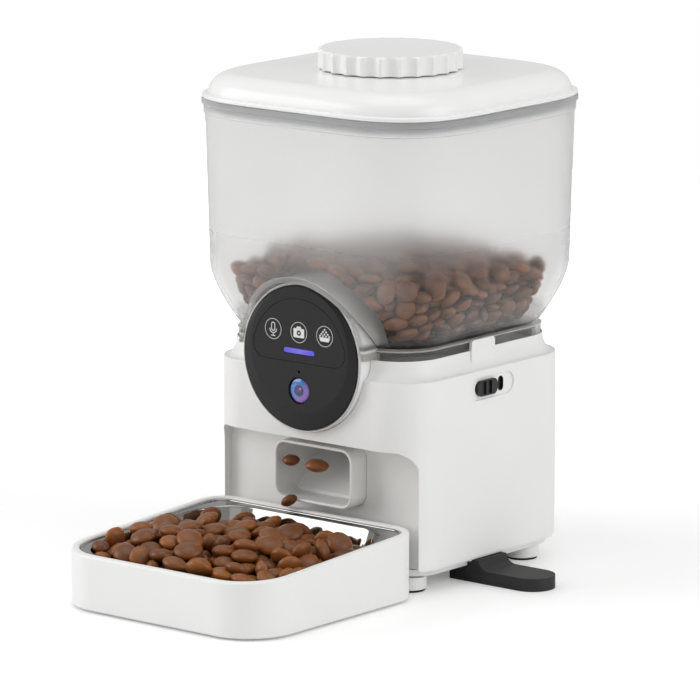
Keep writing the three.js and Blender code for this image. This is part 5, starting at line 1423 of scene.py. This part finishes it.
def startLayers(count, bounds, pitch, rise, allowed, chance):
    # staggered layers of places inside the vessel up to the ceiling, and a random turn for each
    xMin, xMax, yMin, yMax, height = bounds
    ceiling = height + start["ceiling"]
    places = []
    layer = 0
    while len(places) < count and height < ceiling:
        shift = pitch / 2 * (layer % 2)
        for x in np.arange(xMin + shift, xMax, pitch):
            for y in np.arange(yMin + shift, yMax, pitch):
                if allowed(x, y, height) and len(places) < count:
                    places.append((x, y, height))
        height += rise
        layer += 1
    jitter = start["jitter"]
    places = np.array(places) + chance.uniform(-jitter, jitter, (len(places), 3))
    turns = chance.uniform(-1, 1, (len(places), 3)) * [kibble["tilt"], kibble["tilt"], np.pi]
    return places, turns


def turnMatrices(turns):
    # rotation about X, then Y, then Z for each row of angles
    (cx, cy, cz), (sx, sy, sz) = np.cos(turns).T, np.sin(turns).T
    return np.stack([np.stack([cy * cz, sx * sy * cz - cx * sz, cx * sy * cz + sx * sz], -1),
                     np.stack([cy * sz, sx * sy * sz + cx * cz, cx * sy * sz - sx * cz], -1),
                     np.stack([-sy, sx * cy, cx * cy], -1)], 1)


def settle(places, turns, vessel, frames, size):
    # rigid body run with ten millimetres to the unit; the vessel is a mesh in metres
    scene = bpy.context.scene
    bpy.ops.rigidbody.world_add()
    world = scene.rigidbody_world
    loose = bpy.data.collections.new("loose")
    world.collection = loose
    world.substeps_per_frame = run["substeps"]
    world.solver_iterations = run["iterations"]
    world.point_cache.frame_end = frames + 1
    scene.gravity = (0, 0, run["gravity"])
    perUnit = run["unit"] / metre
    shift = np.array([0, middleY / metre, 0])
    meshes = []
    for kind in range(kinds):
        mesh = bpy.data.meshes.new("kibbleHull")
        mesh.from_pydata((kibblePoints(kind, size) / perUnit).tolist(), [], kibbleFaces())
        meshes.append(mesh)
    walls = bpy.data.objects.new("vessel", vessel)
    walls.scale = [1 / run["unit"]] * 3
    bodies = [bpy.data.objects.new("loosePiece", meshes[i % kinds]) for i in range(len(places))]
    for body, place, turn in zip(bodies, places, turns):
        body.location = (place + shift) / perUnit
        body.rotation_euler = turn
    for body in [walls] + bodies:
        scene.collection.objects.link(body)
        loose.objects.link(body)
    bpy.context.view_layer.update()
    for body in [walls] + bodies:
        body.rigid_body.friction = run["friction"]
        body.rigid_body.restitution = run["bounce"]
        body.rigid_body.use_margin = True
        body.rigid_body.collision_margin = run["margin"]
        body.rigid_body.collision_shape = "CONVEX_HULL"
    walls.rigid_body.type = "PASSIVE"
    walls.rigid_body.collision_shape = "MESH"
    for frameNumber in range(1, frames + 1):
        scene.frame_set(frameNumber)
    final = np.array([body.matrix_world for body in bodies])
    scene.frame_set(1)
    bpy.ops.rigidbody.world_remove()
    for body in [walls] + bodies:
        bpy.data.objects.remove(body)
    bpy.data.collections.remove(loose)
    return final[:, :3, 3] * perUnit - shift, final[:, :3, :3]


def pileMesh(name, places, rotations, body, tonesAndShade, size=1.0):
    # one object for the pile; tone tells pieces apart and is darker in the tank's pile as painted shade; rim
    # runs from 0 at the poles to 1 round the edge
    shapes = [kibblePoints(kind, size) for kind in range(kinds)]
    perPiece = len(shapes[0])
    points = np.vstack([shapes[i % kinds] @ rotation.T + place
                        for i, (place, rotation) in enumerate(zip(places, rotations))])
    pieceFaces = kibbleFaces()
    faces = [tuple(v + i * perPiece for v in face) for i in range(len(places)) for face in pieceFaces]
    pile = makeMesh(name, points, faces)
    chance = np.random.default_rng(kibble["seed"])
    toneAndShade = pile.data.attributes.new("toneAndShade", "FLOAT", "POINT")
    toneAndShade.data.foreach_set("value", np.repeat(chance.uniform(*tonesAndShade, len(places)), perPiece))
    reach = np.hypot(shapes[0][:, 0], shapes[0][:, 1]) / (kibble["radii"][0] * size)
    rim = pile.data.attributes.new("rim", "FLOAT", "POINT")
    rim.data.foreach_set("value", np.tile(np.minimum(reach, 1), len(places)))
    pile.data.polygons.foreach_set("use_smooth", [True] * len(faces))
    pile.data.materials.append(kibbleBrown)
    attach(pile, body)


def isInTank(x, y, z):
    # inside the walls and clear of the hood, drawing in above the rounding
    rise = max(0, z - tank["roundTop"])
    margin = kibble["radii"][-1] + tankPile["wallGap"] + tank["pileGap"] + rise * tankPile["slope"]
    under = max(0, (tank["roundTop"] - z) / (tank["roundTop"] - tank["collarTop"]))
    half = tank["lowerHalf"] - tank["roundInset"] * under ** tank["roundPower"] - tank["wall"] - margin
    hood = pod["radius"] + pod["hoodGap"] + pod["hoodWall"] + margin
    cornerReach = (abs(x) / half) ** tank["cornerPower"] + (abs(y) / half) ** tank["cornerPower"]
    nearHood = math.hypot(x, z - podHeight) < hood and y < pod["pocketBack"] + margin
    return cornerReach < tankPile["cornerReach"] and not nearHood


def isInBowl(x, y, z):
    # the heap's start draws in as it gets higher, mostly from the rear and right walls
    edge = bowl["basinInset"] + kibble["radii"][-1] + bowlPile["wallGap"]
    lean = max(0, z - bowl["floor"]) * bowlPile["slope"]
    far = lean / bowlPile["farSlopeParts"]
    return (edge - tray["half"] + far < x < tray["half"] - edge - lean
            and tray["front"] + edge + far < y < tray["rear"] - edge - lean)


def makePile(pile, sides, floor, allowed, vessel, dropHeight, seed):
    # places and rotations of a settled pile
    chance = np.random.default_rng(seed)
    low = floor + kibble["halfThickness"][-1] + start["floorGap"]
    size = pile["size"]
    places, turns = startLayers(pile["count"], (*sides, low + dropHeight), start["pitch"] * size,
                                start["rise"] * size, allowed, chance)
    return settle(places, turns, vessel(), pile["frames"], size)


def fillTank():
    half = tank["lowerHalf"]
    places, rotations = makePile(tankPile, (-half, half, -half, half), tank["floorTop"], isInTank,
                                 makePileSpace, 0, kibble["seed"])
    pileMesh("hopperKibble", places, rotations, "hopper", tankPile["tonesAndShade"], tankPile["size"])


def bowlSpace():
    # the basin with its walls carried on upwards to keep the pile in
    sheet = bowl["sheet"]
    rows = ringRows(basinRing, basinRows(sheet, 7))
    rows += [below(basinRing(sheet), tray["ledgeDrop"]), atHeight(basinRing(sheet), bowlPile["fence"])]
    space = skin("bowlSpace", np.array(rows))
    mesh = space.data
    bpy.data.objects.remove(space)
    return mesh


def fillBowl():
    sides = (-tray["half"], tray["half"], tray["front"], tray["rear"])
    places, rotations = makePile(bowlPile, sides, bowl["floor"] + bowl["sheet"], isInBowl, bowlSpace,
                                 bowlPile["dropHeight"], kibble["seed"] + 1)
    # one more leans on the rear rim, just fallen from the spout
    places = np.vstack([places, bowlPile["leaning"]])
    rotations = np.concatenate([rotations, turnMatrices(np.array([bowlPile["leaningTurn"]]))])
    pileMesh("bowlKibble", places, rotations, "bowl", bowlPile["tonesAndShade"])


fillTank()
print("tank filled")
fillBowl()
print("bowl filled")
pileMesh("fallingKibble", np.array(falling["places"]), turnMatrices(np.array(falling["turns"])), "base",
         bowlPile["tonesAndShade"])
print("falling pieces placed")

# lamps, floor, backdrop and camera; the camera was fitted to the photo, the lamps stand in metres
view = dict(place=(2157.8, -2665.3, 811.1), target=(-31.508, 0, 126.538), lens=295.05, sensor=36, clipEnd=100)
stage = dict(floorReach=1.3, floorGlow=0.19, glowNear=0.45, glowFar=1.0, worldLevel=0.53, seenLevel=1.0,
             lampTarget=(0, -20, 150))
lamps = dict(softboxLeft=dict(place=(-1.7, -1.3, 0.9), width=1.4, height=1.6, power=22),
             softboxRight=dict(place=(2.0, 0.4, 1.0), width=1.4, height=1.6, power=15),
             softboxTop=dict(place=(0.0, 0.0, 2.2), width=1.8, height=1.8, power=12),
             softboxFront=dict(place=(0.4, -2.4, 0.6), width=1.2, height=1.2, power=1.5))
white = (1, 1, 1, 1)


def aim(holder, place, target):
    holder.location = place
    holder.rotation_euler = (Vector(target) - Vector(place)).to_track_quat("-Z", "Y").to_euler()


def addLamp(name, place, width, height, power):
    lamp = bpy.data.lights.new(name, "AREA")
    lamp.shape = "RECTANGLE"
    lamp.size, lamp.size_y, lamp.energy = width, height, power
    holder = bpy.data.objects.new(name, lamp)
    aim(holder, place, inFrame(stage["lampTarget"]))
    bpy.context.scene.collection.objects.link(holder)


def makeFloor():
    material, shader, place = newMaterial("paperSweepWhite", {
        "Roughness": 0.55, "Base Color": toLinear("#f6f6f6"), "Emission Color": white})
    # seen by the camera the sweep's own light tops its white up to paper white; the shadow stays
    ray = addNode(material, "LightPath")
    level = rangeOf(material, distanceOut(material, place), stage["glowNear"], stage["glowFar"],
                    stage["floorGlow"], 1.0)
    glow = mathNode(material, "MULTIPLY", ray.outputs["Is Camera Ray"], level)
    connect(material, glow, shader, "Emission Strength")
    reach = stage["floorReach"]
    mesh = bpy.data.meshes.new("floor")
    mesh.from_pydata([(-reach, -reach, 0), (reach, -reach, 0), (reach, reach, 0), (-reach, reach, 0)], [],
                     [(0, 1, 2, 3)])
    floor = bpy.data.objects.new("floor", mesh)
    mesh.materials.append(material)
    bpy.context.scene.collection.objects.link(floor)


def makeWorld():
    # softer light than the white that the camera sees, also through the clear tank
    world = bpy.data.worlds.new("studio")
    bpy.context.scene.world = world
    world.use_nodes = True
    background = world.node_tree.nodes["Background"]
    background.inputs["Color"].default_value = white
    path = addNode(world, "LightPath")
    seen = mathNode(world, "MAXIMUM", path.outputs["Is Camera Ray"], path.outputs["Is Transmission Ray"])
    level = rangeOf(world, seen, 0.0, 1.0, stage["worldLevel"], stage["seenLevel"])
    connect(world, level, background, "Strength")


def makeCamera():
    scene = bpy.context.scene
    camera = bpy.data.cameras.new("photoCamera")
    camera.lens = view["lens"]
    camera.sensor_width = view["sensor"]
    camera.clip_end = view["clipEnd"]
    holder = bpy.data.objects.new("photoCamera", camera)
    aim(holder, inFrame(view["place"]), inFrame(view["target"]))
    scene.collection.objects.link(holder)
    scene.camera = holder
    scene.view_settings.view_transform = "Standard"


makeFloor()
makeWorld()
for lampName, settings in lamps.items():
    addLamp(lampName, **settings)
makeCamera()
print("stage made")

# finishes for the CAD nodes that stay
def dress(material, *names):
    for name in names:
        slots = nodes[name].data.materials
        slots.clear()
        slots.append(material)


dress(absWhite, "battery_door")
dress(absInner, "battery_bay", "chamber_baffle", "desiccant_cup")
dress(blackMatt, "power_inlet", "speaker", "level_sensor")
dress(platedSteel, "base_screw_1", "base_screw_2", "base_screw_3", "base_screw_4", "battery_contacts_front",
      "battery_contacts_rear", "motor_bracket", "gear_motor", "microphone")
dress(siliconeGrey, "lid_gasket", "rotor_blades")
dress(boardGreen, "camera_board", "main_board")
dress(acetalCream, "rotor_hub", "drive_gear", "motor_pinion")
dress(cellSleeve, "battery_cell_1", "battery_cell_2", "battery_cell_3")
dress(bagPaper, "desiccant_bag")
